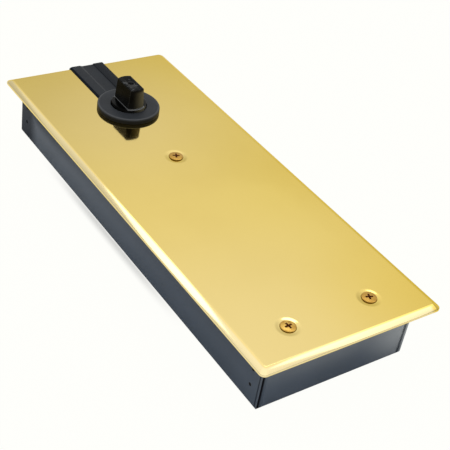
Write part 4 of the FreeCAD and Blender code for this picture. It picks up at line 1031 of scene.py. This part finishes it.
def soften(made: bpy.types.Object, width: float, segments: int, angle: float) -> None:
    """Rounds the sharp edges of an object.

    Args:
        made: The object.
        width: Width of the rounding in millimetres.
        segments: Spans across it.
        angle: Smallest angle in degrees that counts as sharp.
    """
    bevel = made.modifiers.new("rounding", "BEVEL")
    bevel.width = width * MM
    bevel.segments = segments
    bevel.limit_method = "ANGLE"
    bevel.angle_limit = math.radians(angle)
    bevel.harden_normals = True
    bevel.miter_outer = "MITER_ARC"
    settle(made)


@dataclass
class Piece:
    """A sub-assembly that is built as one object and dressed.

    Its coats are the finishes of its mesh; without coats it gets the one of its slot in the record.
    """

    name: str
    body: Body
    slot: Slot
    stands_for: tuple[str, ...] = ()
    coats: tuple[Finish, ...] | None = None

    def build(self) -> bpy.types.Object:
        """Builds the piece's object."""
        raise NotImplementedError

    def add(self) -> bpy.types.Object:
        """Builds the piece, dresses it and ties it to the frame.

        Returns:
            The finished object.
        """
        made = self.build()
        coats = (SLOT_FINISHES[self.slot],) if self.coats is None else self.coats
        for i, finish in enumerate(coats):
            if i < len(made.data.materials):
                made.data.materials[i] = finish.material()
            else:
                made.data.materials.append(finish.material())
        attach(made, self.body.value)
        if self.stands_for:
            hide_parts(*self.stands_for)
        LOG.info("%s: %d faces on %s", self.name, len(made.data.polygons), self.body.value)
        return made


@dataclass
class CoverPlate(Piece):
    """Pressed cover plate with a bevelled rim, the spindle's hole, the slot and three screw holes."""

    far: float = COVER.low.x
    near: float = COVER.high.x
    left: float = COVER.low.y
    right: float = COVER.high.y
    low: float = COVER.low.z
    top: float = COVER.high.z
    corner: float = 3.5
    top_corner: float = 1.2
    corner_spans: int = 8
    sheet: float = 1.5
    bevel: float = 4.0
    under_run: float = 1.2
    top_run: float = 1.6
    folds: tuple[float, ...] = (0.0, 0.8, 0.0, 0.3, 0.35, 1.1, 0.0)
    cut_low: float = 30.0
    cut_high: float = 50.0
    hole_radius: float = 19.0
    hole_spans: int = 96
    slot_half: float = 14.15
    slot_past: float = 5.0
    screw_hole: float = 2.6
    sink_radius: float = 4.95
    sink_past: float = 1.0
    sink_spans: int = 48
    rounding: Rounding = (0.12, 2, 38.0)

    def rim_profile(self) -> list[Point]:
        """The plate's section, from inside the rim over its edge to the top.

        Returns:
            Inset and height of each point.
        """
        under = self.top - self.sheet
        corners = [
            (self.bevel + self.sheet / 2 + self.under_run, under),
            (self.bevel + self.sheet / 2, under),
            (self.sheet / 2, self.low),
            (0.0, self.low),
            (0.0, self.low + self.sheet),
            (self.bevel, self.top),
            (self.bevel + self.top_run, self.top),
        ]
        return fillet(corners, self.folds, closed=False)

    def outline(self, inset: float, height: float) -> list[Triple]:
        """The plate's outline, drawn in by an inset, its corners rounded less toward the top.

        Args:
            inset: How far it is drawn in.
            height: The height.

        Returns:
            The outline's points.
        """
        share = min(inset / self.bevel, 1.0)
        radius = self.corner + (self.top_corner - self.corner) * share
        corners = rectangle((self.far + inset, self.left + inset), (self.near - inset, self.right - inset))
        return [(x, y, height) for x, y in fillet(corners, (radius,) * 4, self.corner_spans)]

    def build(self) -> bpy.types.Object:
        """Builds the plate.

        Returns:
            The plate's object.
        """
        loops = [self.outline(inset, height) for inset, height in self.rim_profile()]
        made = new_object(self.name, Shell.lofted(self.name, loops))
        hole = rectangle((0.0, self.cut_low), (self.hole_radius, self.cut_high))
        combine(made, Shell.turned("hole", hole, self.hole_spans))
        slot = rectangle((-self.slot_half, self.cut_low), (self.slot_half, self.cut_high))
        combine(made, Shell.drawn("slot", slot, self.far - self.slot_past, -self.slot_past))
        past = self.top + self.sink_past
        sink = [
            (0.0, self.cut_low), (self.screw_hole, self.cut_low),
            (self.screw_hole, self.top - (self.sink_radius - self.screw_hole)),
            (self.sink_radius + self.sink_past, past), (0.0, past),
        ]
        for spot in SCREW_PLACES:
            combine(made, Shell.turned("screw_hole", sink, self.sink_spans, spot))
        soften(made, *self.rounding)
        return made


@dataclass
class SlotFiller(Piece):
    """Stepped black bar that fills the plate's slot, from the ring to the far end."""

    coats: tuple[Finish, ...] | None = (FILLER_BLACK,)
    far: float = FILLER.low.x
    near: float = -9.35
    half: float = 14.0
    flange: float = FILLER.high.y
    low: float = FILLER.low.z
    flange_top: float = COVER.high.z - 1.7
    flange_far: float = BOX.low.x
    plate_top: float = COVER.high.z
    left_proud: float = 0.9
    channel_proud: float = 0.15
    right_proud: float = 0.8
    step: float = 5.6
    step_out: float = 0.25
    step_in: float = 0.15
    left_step: float = 5.4
    channel: float = 3.5
    bevel: float = 1.7
    bevel_drop: float = 0.8
    rounds: tuple[float, ...] = (0.0, 0.0, 0.7, 0.2, 0.15, 0.15, 0.1, 0.25, 0.2)
    ring_clear: float = RING.high.x + 0.15
    spigot_clear: float = 19.0
    boss_clear: float = 21.3
    boss_top: float = COVER.high.z - 1.5
    ring_top: float = RING.high.z
    past: float = 1.0
    clear_spans: int = 128
    rounding: Rounding = (0.18, 3, 40.0)

    def section(self) -> list[Point]:
        """The bar's section, with its corners rounded.

        Returns:
            The section's points in y and z.
        """
        left = self.plate_top + self.left_proud
        channel = self.plate_top + self.channel_proud
        right = self.plate_top + self.right_proud
        corners = [
            (-self.half, self.low), (self.half, self.low), (self.half, right),
            (self.step + self.step_out, right), (self.step - self.step_in, channel),
            (-self.channel, channel), (-self.left_step, left),
            (self.bevel - self.half, left), (-self.half, left - self.bevel_drop),
        ]
        return fillet(corners, self.rounds, 3)

    def build(self) -> bpy.types.Object:
        """Builds the bar.

        Returns:
            The bar's object.
        """
        made = new_object(self.name, Shell.drawn(self.name, self.section(), self.far, self.near))
        flange = rectangle((-self.flange, self.low), (self.flange, self.flange_top))
        combine(made, Shell.drawn("flange", flange, self.flange_far, self.near), "UNION")
        bottom, top = self.low - self.past, self.ring_top + self.past
        clearance = [
            (0.0, bottom), (self.boss_clear, bottom), (self.boss_clear, self.boss_top),
            (self.spigot_clear, self.boss_top), (self.spigot_clear, self.plate_top),
            (self.ring_clear, self.plate_top), (self.ring_clear, top), (0.0, top),
        ]
        combine(made, Shell.turned("ring_clearance", clearance, self.clear_spans))
        soften(made, *self.rounding)
        return made


@dataclass
class SpindleRing(Piece):
    """Flat black ring on the plate, round the spindle's shoulder."""

    coats: tuple[Finish, ...] | None = (RING_BLACK,)
    bore: float = 12.9
    spigot: float = 18.7
    radius: float = RING.high.x
    base: float = RING.low.z
    seat: float = COVER.high.z + 0.02
    top: float = RING.high.z
    rounds: tuple[float, ...] = (0.0, 0.0, 0.0, 0.3, 1.2, 0.4)
    spans: int = 160

    def build(self) -> bpy.types.Object:
        """Turns the ring.

        Returns:
            The ring's object.
        """
        corners = [
            (self.bore, self.base), (self.spigot, self.base), (self.spigot, self.seat),
            (self.radius, self.seat), (self.radius, self.top), (self.bore, self.top),
        ]
        return new_object(self.name, Shell.turned(self.name, fillet(corners, self.rounds, 5), self.spans))


@dataclass
class Spindle(Piece):
    """Spindle with its shoulder, and the tapered head with two flats that carries the door's arm."""

    coats: tuple[Finish, ...] | None = (SPINDLE_STEEL, HOLE_PAINTED_SHADE)
    stub_low: float = SPINDLE.low.z
    stub_radius: float = 6.0
    hub_base: float = SPINDLE.low.z + 8.68
    hub_top: float = SPINDLE.low.z + 18.68
    seat_radius: float = 9.0
    journal: float = 10.0
    shoulder_base: float = COVER.high.z - 0.6
    shoulder_top: float = COVER.high.z + 5.8
    shoulder: float = 12.4
    rounds: tuple[float, ...] = (0.0, 0.4, 0.0, 0.3, 0.0, 0.0, 0.0, 0.2, 0.35, 0.0)
    spans: int = 128
    top: float = SPINDLE.high.z
    base_radius: float = 11.5
    top_radius: float = 10.9
    base_half: float = 6.5
    top_half: float = 5.3
    end_spans: int = 24
    root: float = 1.0
    chamfer: float = 0.5
    tapped: float = 2.1
    tapped_depth: float = 14.0
    tapped_tip: float = 0.8
    tapped_sink: float = 0.35
    tapped_past: float = 0.2
    tapped_spans: int = 40
    key_half: float = 2.0
    key_rise: float = 1.5
    key_past: float = 1.0
    rounding: Rounding = (0.16, 3, 25.0)

    def outline(self, radius: float, half: float, height: float) -> list[Triple]:
        """Outline of the head at one height: two round ends joined by two flats.

        Args:
            radius: Radius of the round ends.
            half: Half the width across the flats.
            height: The height.

        Returns:
            The outline's points.
        """
        lean = math.asin(half / radius)
        points = []
        for start in (-lean, math.pi - lean):
            for i in range(self.end_spans + 1):
                angle = start + 2.0 * lean * i / self.end_spans
                points.append((radius * math.cos(angle), radius * math.sin(angle), height))
        return points

    def shaft(self) -> bpy.types.Mesh:
        """The turned part, from the stub to the shoulder.

        Returns:
            The mesh.
        """
        corners = [
            (0.0, self.stub_low), (self.stub_radius, self.stub_low), (self.stub_radius, self.hub_base),
            (self.seat_radius, self.hub_base), (self.seat_radius, self.hub_top),
            (self.journal, self.hub_top), (self.journal, self.shoulder_base),
            (self.shoulder, self.shoulder_base), (self.shoulder, self.shoulder_top),
            (0.0, self.shoulder_top),
        ]
        return Shell.turned(self.name, fillet(corners, self.rounds), self.spans)

    def drill(self) -> bpy.types.Mesh:
        """The tapped hole in the top, with its sunk rim.

        Returns:
            The mesh to cut away.
        """
        low, sink = self.top - self.tapped_depth, self.top - self.tapped_sink
        past = self.top + self.tapped_past
        rim = self.tapped + self.tapped_sink + self.tapped_past
        tip = low + self.tapped_tip
        profile = [(0.0, low), (self.tapped, tip), (self.tapped, sink), (rim, past), (0.0, past)]
        drill = Shell.turned("drill", profile, self.tapped_spans)
        drill.materials.append(HOLE_PAINTED_SHADE.material())
        return drill

    def build(self) -> bpy.types.Object:
        """Builds the spindle.

        Returns:
            The spindle's object.
        """
        made = new_object(self.name, self.shaft())
        head = [
            self.outline(self.base_radius, self.base_half, self.shoulder_top - self.root),
            self.outline(self.base_radius, self.base_half, self.shoulder_top),
            self.outline(self.top_radius, self.top_half, self.top - self.chamfer),
            self.outline(self.top_radius - self.chamfer, self.top_half - self.chamfer, self.top),
        ]
        combine(made, Shell.lofted("head", head), "UNION")
        key = rectangle((-self.key_half, self.hub_base), (self.key_half, self.hub_top))
        inner, outer = self.seat_radius - self.key_rise, self.seat_radius + self.key_past
        combine(made, Shell.drawn("keyway", key, -outer, -inner))
        soften(made, *self.rounding)
        made.data.materials.append(SPINDLE_STEEL.material())
        combine(made, self.drill())
        return made


class MeshTree:
    """A tree of geometry nodes with named inputs, which ends in real mesh with its finish."""

    INPUTS: tuple[tuple[str, str], ...] = ()

    def __init__(self, name: str) -> None:
        """Builds the tree with its inputs and its nodes.

        Args:
            name: The tree's name.
        """
        self.tree = bpy.data.node_groups.new(name, "GeometryNodeTree")
        face = self.tree.interface
        face.new_socket("Geometry", in_out="INPUT", socket_type="NodeSocketGeometry")
        self.keys = {n: face.new_socket(n, in_out="INPUT", socket_type=k).identifier for n, k in self.INPUTS}
        face.new_socket("Geometry", in_out="OUTPUT", socket_type="NodeSocketGeometry")
        self.sheet = NodeSheet(self.tree)
        self.sheet.end("NodeGroupOutput", self.result(), "Geometry")

    def result(self) -> Wire:
        """Adds the nodes and gives their last wire."""
        raise NotImplementedError

    def given(self, name: str) -> Wire:
        """One of the tree's inputs."""
        return self.sheet.node("NodeGroupInput", out=name)

    def run(self, made: bpy.types.Object, values: dict) -> None:
        """Runs the tree on an object and leaves plain mesh.

        Args:
            made: The object.
            values: Values of the tree's inputs, by name.
        """
        change = made.modifiers.new(self.tree.name, "NODES")
        change.node_group = self.tree
        for key, value in values.items():
            change[self.keys[key]] = value
        settle(made)


class Copies(MeshTree):
    """A tree that sets copies of a piece on points."""

    INPUTS = (
        ("Piece", "NodeSocketObject"),
        ("Size", "NodeSocketFloat"),
        ("Size spread", "NodeSocketFloat"),
        ("Seed", "NodeSocketInt"),
        ("Finish", "NodeSocketMaterial"),
        ("Recess finish", "NodeSocketMaterial"),
    )

    def result(self) -> Wire:
        """Adds the nodes: points, turned copies, real mesh, then the finishes.

        Returns:
            The dressed mesh's wire.
        """
        node, size, spread = self.sheet.node, self.given("Size"), self.given("Size spread")
        limits = {"Min_001": size - spread, "Max_001": size + spread, "Seed": self.given("Seed")}
        scale = node("FunctionNodeRandomValue", {"data_type": "FLOAT"}, limits, "Value_001")
        turn = node("GeometryNodeInputNamedAttribute", {"data_type": "FLOAT_VECTOR"}, {"Name": "turn"})
        points = node("GeometryNodeMeshToPoints", None, {"Mesh": self.given("Geometry")})
        piece = node("GeometryNodeObjectInfo", None, {"Object": self.given("Piece")}, "Geometry")
        sockets = {"Points": points, "Instance": piece, "Rotation": turn, "Scale": scale}
        laid = node("GeometryNodeInstanceOnPoints", None, sockets)
        real = node("GeometryNodeRealizeInstances", None, {"Geometry": laid})
        dressed = node("GeometryNodeSetMaterial", None, {"Geometry": real, "Material": self.given("Finish")})
        recess = node("GeometryNodeInputNamedAttribute", {"data_type": "BOOLEAN"}, {"Name": "recess"})
        sockets = {"Geometry": dressed, "Selection": recess, "Material": self.given("Recess finish")}
        return node("GeometryNodeSetMaterial", None, sockets)

    def lay(
        self, name: str, piece: bpy.types.Mesh, places: list[Triple], turns: list[Triple], values: dict
    ) -> bpy.types.Object:
        """Sets copies of a piece on places and makes them one plain mesh.

        Args:
            name: The object's name.
            piece: The mesh that is copied.
            places: The copies' places in millimetres.
            turns: Each copy's turn about x, y and z, in radians.
            values: Values of the tree's inputs, by name.

        Returns:
            The object with all the copies.
        """
        pattern = new_object("pattern", piece)
        points = bpy.data.meshes.new(name)
        points.from_pydata([Vector(p) * MM for p in places], [], [])
        turn = points.attributes.new("turn", "FLOAT_VECTOR", "POINT")
        for spot, angles in zip(turn.data, turns):
            spot.vector = angles
        made = new_object(name, points)
        self.run(made, {"Piece": pattern, **values})
        bpy.data.objects.remove(pattern)
        return made


class Winding(MeshTree):
    """A tree that winds a wire along x, with one closer turn at each end."""

    INPUTS = (
        ("Turns", "NodeSocketFloat"),
        ("Radius", "NodeSocketFloat"),
        ("Wire radius", "NodeSocketFloat"),
        ("Pitch", "NodeSocketFloat"),
        ("End pitch", "NodeSocketFloat"),
        ("Place", "NodeSocketVector"),
        ("Finish", "NodeSocketMaterial"),
    )
    TURN_SPANS = 36
    WIRE_SPANS = 14

    def centre_line(self) -> Wire:
        """Where each point of an even spiral goes, so that its end turns lie closer.

        Returns:
            The places' wire.
        """
        node = self.sheet.node
        spot = node("GeometryNodeInputPosition")
        side, rise, share = (node("ShaderNodeSeparateXYZ", None, {0: spot}, axis) for axis in "XYZ")
        turn = share * self.given("Turns")
        open_turns = self.given("Turns") - 2.0
        past = node("ShaderNodeClamp", None, {"Value": turn - 1.0, "Min": 0.0, "Max": open_turns})
        along = past * self.given("Pitch") + (turn - past) * self.given("End pitch")
        return node("ShaderNodeCombineXYZ", None, {"X": along, "Y": side, "Z": rise}) + self.given("Place")

    def result(self) -> Wire:
        """Adds the nodes: spiral, closer end turns, wire, real mesh, finish.

        Returns:
            The spring's wire.
        """
        node = self.sheet.node
        spiral = node("GeometryNodeCurveSpiral", None, {
            "Resolution": self.TURN_SPANS, "Rotations": self.given("Turns"),
            "Start Radius": self.given("Radius"), "End Radius": self.given("Radius"), "Height": 1.0,
        })
        placed = node("GeometryNodeSetPosition", None, {"Geometry": spiral, "Position": self.centre_line()})
        section = node("GeometryNodeCurvePrimitiveCircle", {"mode": "RADIUS"}, {
            "Resolution": self.WIRE_SPANS, "Radius": self.given("Wire radius"),
        })
        sockets = {"Curve": placed, "Profile Curve": section, "Fill Caps": True}
        wound = node("GeometryNodeCurveToMesh", None, sockets)
        real = node("GeometryNodeRealizeInstances", None, {"Geometry": wound})
        return node("GeometryNodeSetMaterial", None, {"Geometry": real, "Material": self.given("Finish")})


@dataclass
class MainSpring(Piece):
    """Closing spring from the piston's back to its seat, which in the closer shortens as the piston comes;
    here it is wound at one length.

    It has no coats of its own, as the tree sets its finish.
    """

    coats: tuple[Finish, ...] | None = ()
    wire: float = 2.1
    turns: float = 13.0
    end_gap: float = 0.7
    inside: float = 0.99
    travel: float = 18.0

    def build(self) -> bpy.types.Object:
        """Winds the spring.

        Returns:
            The spring's object.
        """
        middle = (SPRING.low + SPRING.high) / 2
        end_pitch = 2.0 * self.wire + self.end_gap
        length = SPRING.high.x - SPRING.low.x - 2.0 * self.wire
        values = {
            "Turns": self.turns,
            "Radius": ((SPRING.high.y - SPRING.low.y) / 2 - self.wire) * MM,
            "Wire radius": self.wire * self.inside * MM,
            "Pitch": (length - 2.0 * end_pitch) / (self.turns - 2.0) * MM,
            "End pitch": end_pitch * MM,
            "Place": ((SPRING.low.x + self.wire) * MM, middle.y * MM, middle.z * MM),
            "Finish": SLOT_FINISHES[self.slot].material(),
        }
        made = new_object(self.name, bpy.data.meshes.new(self.name))
        Winding("winding").run(made, values)
        made.data.shade_smooth()
        return made

    def add(self) -> bpy.types.Object:
        """Adds the spring and gives it a mesh of its own.

        Returns:
            The finished object.
        """
        made = super().add()
        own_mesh(made)
        return made


@dataclass
class CopiedPiece(Piece):
    """A piece made of copies, which has no coats of its own, as the tree sets its finishes."""

    coats: tuple[Finish, ...] | None = ()
    copies: Copies | None = None


@dataclass
class CoverScrews(CopiedPiece):
    """Three raised countersunk brass screws with a cross recess."""

    plate_top: float = COVER.high.z
    length: float = 7.5
    shank: float = 2.5
    tip: float = 0.5
    tip_share: float = 0.8
    head: float = SCREW_HEAD
    rim: float = 0.42
    cone: float = 2.35
    dome: float = 0.9
    dome_shares: tuple[Point, ...] = ((0.86, 0.74), (0.5, 0.93), (0.2, 1.0))
    rounds: tuple[float, ...] = (0.0, 0.0, 0.0, 0.0, 0.05, 0.12, 0.8, 1.5, 0.5, 0.0)
    spans: int = 72
    cross: float = 4.9
    cross_width: float = 1.3
    cross_depth: float = 1.9
    cross_level: float = 0.9
    cross_past: float = 0.6
    cross_shares: Triple = (0.45, 1.0, 1.15)
    rounding: Rounding = (0.07, 2, 30.0)
    turns_deg: tuple[float, ...] = (64.0, 68.0, 5.0)

    def blade(self, across: bool) -> bpy.types.Mesh:
        """One arm of the cross, to be cut away.

        Args:
            across: Whether it lies along y.

        Returns:
            The mesh.
        """
        heights = (self.dome - self.cross_depth, self.dome * self.cross_level, self.dome + self.cross_past)
        loops = []
        for height, share in zip(heights, self.cross_shares):
            wide, deep = self.cross / 2 * share, self.cross_width / 2 * share
            corners = rectangle((-wide, -deep), (wide, deep))
            loops.append([(y, x, height) if across else (x, y, height) for x, y in corners])
        blade = Shell.lofted("blade", loops)
        blade.materials.append(SCREW_RECESS.material())
        return blade

    def head_mesh(self) -> bpy.types.Mesh:
        """One screw, its axis upright at the origin, with its recess marked.

        Returns:
            The screw's mesh.
        """
        corners = [
            (0.0, -self.length), (self.shank * self.tip_share, -self.length),
            (self.shank, self.tip - self.length), (self.shank, -self.cone),
            (self.head, 0.0), (self.head, self.rim),
            *((self.head * across, self.dome * up) for across, up in self.dome_shares), (0.0, self.dome),
        ]
        screw = new_object("screw", Shell.turned("screw", fillet(corners, self.rounds), self.spans))
        screw.data.materials.append(BRASS_SCREW.material())
        for across in (False, True):
            combine(screw, self.blade(across))
        soften(screw, *self.rounding)
        mesh = screw.data
        marks = mesh.attributes.new("recess", "BOOLEAN", "FACE")
        names = [m.name if m else "" for m in mesh.materials]
        for face, mark in zip(mesh.polygons, marks.data):
            mark.value = names[face.material_index] == SCREW_RECESS.name
        bpy.data.objects.remove(screw)
        return mesh

    def build(self) -> bpy.types.Object:
        """Sets the three screws, each turned as it was tightened.

        Returns:
            The screws' object.
        """
        places = [(x, y, self.plate_top) for x, y in SCREW_PLACES]
        turns = [(0.0, 0.0, math.radians(a)) for a in self.turns_deg]
        values = {
            "Size": 1.0, "Size spread": 0.0, "Seed": 3,
            "Finish": BRASS_SCREW.material(), "Recess finish": SCREW_RECESS.material(),
        }
        return self.copies.lay(self.name, self.head_mesh(), places, turns, values)


@dataclass
class WeldSpots(CopiedPiece):
    """Shallow spot welds near the box's four upright corners, in near-black as painted shade of their
    dimples.
    """

    x_places: tuple[float, ...] = (BOX.low.x + 6.2, BOX.high.x - 8.9)
    z_places: tuple[float, ...] = (13.5, 25.3)
    far_drop: float = 2.4
    radius: float = 1.3
    depth: float = 0.5
    sunk: float = 0.05
    lip: float = 0.06
    shares: Point = (0.7, 0.45)
    depth_shares: Point = (0.7, 0.75)
    rounds: tuple[float, ...] = (0.0, 0.0, 0.12, 0.15, 0.3, 0.0)
    spans: int = 24

    def spot_mesh(self) -> bpy.types.Mesh:
        """One spot, facing up: a ring round a sunk middle.

        Returns:
            The spot's mesh.
        """
        base, rim = -self.depth - self.sunk, self.radius - self.sunk
        corners = [
            (0.0, base), (rim, base), (rim, -self.sunk), (self.radius * self.shares[0], -self.lip),
            (self.radius * self.shares[1], -self.depth * self.depth_shares[0]),
            (0.0, -self.depth * self.depth_shares[1]),
        ]
        return Shell.turned("spot", fillet(corners, self.rounds, 3), self.spans)

    def build(self) -> bpy.types.Object:
        """Sets the spots on both side walls.

        Returns:
            The spots' object.
        """
        places, turns = [], []
        for side, y in ((1.0, BOX.high.y), (-1.0, BOX.low.y)):
            for x in self.x_places:
                drop = self.far_drop if x < 0.0 else 0.0
                for z in self.z_places:
                    places.append((x, y, z - drop))
                    turns.append((-side * math.pi / 2, 0.0, 0.0))
        values = {
            "Size": 0.99, "Size spread": 0.01, "Seed": 11,
            "Finish": SPOT_PAINTED_SHADE.material(), "Recess finish": SPOT_PAINTED_SHADE.material(),
        }
        return self.copies.lay(self.name, self.spot_mesh(), places, turns, values)


def dress_frame() -> None:
    """Gives each of the frame's own nodes the finish of its slot in the record."""
    for part in frame["record"]["subparts"]:
        mesh = frame["nodes"][part["node"]].data
        mesh.materials.clear()
        mesh.materials.append(SLOT_FINISHES[Slot(part["material_slot"])].material())


@dataclass(frozen=True)
class Softbox:
    """A soft lamp, given by where it hangs as seen from the part."""

    name: str
    bearing: float
    height: float
    distance: float
    width: float
    depth: float
    brightness: float
    aim: Triple = (0.1, 0.0, 0.04)

    def hang(self) -> None:
        """Adds the lamp, turned to the part; its brightness is what a mirror shows."""
        around, up = math.radians(self.bearing), math.radians(self.height)
        away = Vector((math.cos(up) * math.cos(around), math.cos(up) * math.sin(around), math.sin(up)))
        data = bpy.data.lights.new(self.name, "AREA")
        data.shape = "RECTANGLE"
        data.size = self.width
        data.size_y = self.depth
        data.energy = self.brightness * math.pi * self.width * self.depth
        lamp = new_object(self.name, data)
        lamp.location = Vector(self.aim) + away * self.distance
        lamp.rotation_euler = (-away).to_track_quat("-Z", "Y").to_euler()


@dataclass
class Studio:
    """The pale floor, the soft light and the camera."""

    white: Triple = (1.0, 1.0, 0.967)
    floor_size: float = 6.0
    floor_height: float = -0.0003
    floor_colour: Triple = (0.84, 0.855, 0.88)
    plain_share: float = 0.985
    shadow_share: float = 0.45
    shadow_reach: float = 6.0
    shadow_rise: Point = (-30.0, 60.0)
    shadow_fall: Point = (100.0, 180.0)
    shadow_wall: Point = (BOX.low.y, BOX.low.y + 2.0)
    mirror_share: float = 0.85
    contact_limits: Point = (-5.0, 42.0)
    far_side_limits: Point = (100.0, 160.0)
    far_end_limits: Point = (0.0, 130.0)
    far_end_share: float = 0.3
    near_end_limits: Point = (258.0, 275.0)
    low_limits: Point = (0.28, 0.40)
    boxes: tuple[Softbox, ...] = (
        Softbox("near_box", 62.5, 45.5, 1.66, 0.62, 0.50, 0.72),
        Softbox("screw_box", 123.6, 61.0, 1.55, 0.55, 0.26, 1.9),
        Softbox("rim_strip", -148.2, 46.6, 1.59, 0.40, 0.30, 1.4),
        Softbox("left_card", -158.0, 36.5, 1.69, 0.50, 0.36, 0.22),
    )
    bright_bearing: float = 137.0
    side_level: float = 0.50
    side_limits: Point = (0.28, 0.58)
    core_level: float = 0.86
    core_limits: Point = (0.945, 0.996)
    open_limits: Point = (0.60, 0.80)
    camera_place: Triple = (0.538381, -0.336755, 0.419705)
    camera_turn: Triple = (0.929743, -0.144535, 0.987186)
    lens: float = 81.1603
    sensor: float = 36.0
    clip: float = 0.01
    sky: tuple[tuple[float, Triple], ...] = (
        (0.0, (0.66, 0.66, 0.62)),
        (0.50, (0.90, 0.90, 0.87)),
        (0.62, (0.88, 0.88, 0.85)),
        (0.66, (0.72, 0.72, 0.69)),
        (0.70, (0.74, 0.735, 0.70)),
        (0.74, (0.79, 0.79, 0.77)),
        (0.785, (0.915, 0.915, 0.905)),
        (0.85, (1.02, 1.02, 1.02)),
        (0.95, (1.2, 1.2, 1.2)),
    )

    def set_up(self) -> None:
        """Builds the floor, the world, the lamps and the camera."""
        self.floor()
        self.world()
        for box in self.boxes:
            box.hang()
        self.camera()
        bpy.context.scene.view_settings.view_transform = "Standard"
        LOG.info("studio set up")

    def floor(self) -> None:
        """Adds the floor: plain to the camera, shaded a little to mirrors, with a faint shadow."""
        half = self.floor_size / 2
        mesh = bpy.data.meshes.new("floor")
        corners = rectangle((-half, -half), (half, half))
        mesh.from_pydata([(x, y, self.floor_height) for x, y in corners], [], [(0, 1, 2, 3)])
        made = new_object("floor", mesh)
        material = bpy.data.materials.new("pale_floor")
        material.use_nodes = True
        sheet = NodeSheet(material.node_tree)
        diffuse = sheet.node("ShaderNodeBsdfDiffuse", None, {"Color": self.floor_colour})
        glow = sheet.node("ShaderNodeEmission", None, {"Color": self.white, "Strength": 1.0})
        camera = sheet.node("ShaderNodeLightPath", out="Is Camera Ray")
        glossy = sheet.node("ShaderNodeLightPath", out="Is Glossy Ray")
        through = sheet.node("ShaderNodeLightPath", out="Is Transmission Ray")
        mirrored = glossy.highest(through) * self.mirrored_level(sheet)
        share = (camera * (self.plain_share - self.contact_shadow(sheet))).highest(mirrored)
        sheet.end("ShaderNodeOutputMaterial", sheet.mixed(share, diffuse, glow), "Surface")
        mesh.materials.append(material)

    def mirrored_level(self, sheet: NodeSheet) -> Wire:
        """How white the floor is in mirrors: dim against the box and on the part's right side.

        Args:
            sheet: The floor's nodes.

        Returns:
            The share's wire.
        """
        x, y = sheet.axis("X"), sheet.axis("Y")
        beside_x = (BOX.low.x * MM - x).highest(x - BOX.high.x * MM)
        beside_y = (BOX.low.y * MM - y).highest(y - BOX.high.y * MM)
        contact = sheet.ease(beside_x.highest(beside_y), *(v * MM for v in self.contact_limits))
        near_side = sheet.mask("Y", self.far_side_limits, 1.0, 0.0)
        far_end = sheet.mask("X", self.far_end_limits, self.far_end_share, 0.0)
        near_end = sheet.mask("X", self.near_end_limits)
        return contact * near_side.highest(far_end).highest(near_end) * self.mirror_share

    def contact_shadow(self, sheet: NodeSheet) -> Wire:
        """How much of the shadow along the box's left side the camera sees.

        Args:
            sheet: The floor's nodes.

        Returns:
            The share's wire.
        """
        away = BOX.low.y * MM - sheet.axis("Y")
        near = sheet.ease(away, 0.0, self.shadow_reach * MM, self.shadow_share, 0.0)
        rise = sheet.mask("X", self.shadow_rise)
        fall = sheet.mask("X", self.shadow_fall, 1.0, 0.0)
        outside = sheet.mask("Y", self.shadow_wall, 1.0, 0.0)
        return near * rise * fall * outside

    def world(self) -> None:
        """Sets a sky that is brighter overhead and dim on the camera's side, and white to the camera."""
        world = bpy.data.worlds.new("studio")
        bpy.context.scene.world = world
        world.use_nodes = True
        sheet = NodeSheet(world.node_tree)
        direction = sheet.node("ShaderNodeTexCoord", out="Generated")
        level = direction * (1.0, 1.0, 0.0)
        flat = sheet.node("ShaderNodeVectorMath", {"operation": "NORMALIZE"}, {0: level})
        around = math.radians(self.bright_bearing)
        bright_side = (math.cos(around), math.sin(around), 0.0)
        toward = sheet.dot(flat, bright_side)
        height = sheet.node("ShaderNodeSeparateXYZ", None, {0: direction}, "Z")
        side = sheet.ease(toward, *self.side_limits, self.side_level, 1.0)
        core = sheet.ease(toward, *self.core_limits, self.core_level, 1.0)
        below = sheet.ease(height, *self.low_limits, 1.0, 0.0)
        opened = sheet.ease(height, *self.open_limits).highest(below)
        dimming = opened + (1.0 - opened) * side * core
        sky = sheet.node("ShaderNodeValToRGB", {"stops": self.sky}, {"Fac": height * 0.5 + 0.5})
        seen = sheet.node("ShaderNodeLightPath", out="Is Camera Ray")
        colour = sheet.blend(seen, sheet.scaled(sky, dimming), self.white)
        light = sheet.node("ShaderNodeBackground", None, {"Color": colour, "Strength": 1.0})
        sheet.end("ShaderNodeOutputWorld", light, "Surface")

    def camera(self) -> None:
        """Adds the camera at the photograph's viewpoint."""
        data = bpy.data.cameras.new("camera")
        data.sensor_width = self.sensor
        data.lens = self.lens
        data.clip_start = self.clip
        camera = new_object("camera", data)
        camera.location = self.camera_place
        camera.rotation_euler = self.camera_turn
        bpy.context.scene.camera = camera


def main() -> None:
    """Builds every piece in order and reports it."""
    logging.basicConfig(level=logging.INFO, format="%(name)s %(message)s")
    copies = Copies("copies_on_points")
    dress_frame()
    pieces: list[Piece] = [
        CoverPlate("plate_polished", Body.HOUSING, Slot.BRASS_PLATE, ("cover_plate",)),
        SlotFiller("filler_bar", Body.HOUSING, Slot.BLACK_PART, ("slot_filler",)),
        SpindleRing("ring_satin", Body.HOUSING, Slot.BLACK_PART, ("spindle_ring",)),
        Spindle("spindle_blacked", Body.SPINDLE, Slot.SPINDLE_STEEL, ("spindle",)),
        CoverScrews("cross_screws", Body.HOUSING, Slot.BRASS_SCREW, ("cover_screws",), copies=copies),
        WeldSpots("weld_spots", Body.HOUSING, Slot.BOX_PAINT, copies=copies),
        MainSpring("spring_wound", Body.HOUSING, Slot.ZINC_STEEL, ("main_spring",)),
    ]
    for piece in pieces:
        piece.add()
    Studio().set_up()


if __name__ == "__main__":
    main()
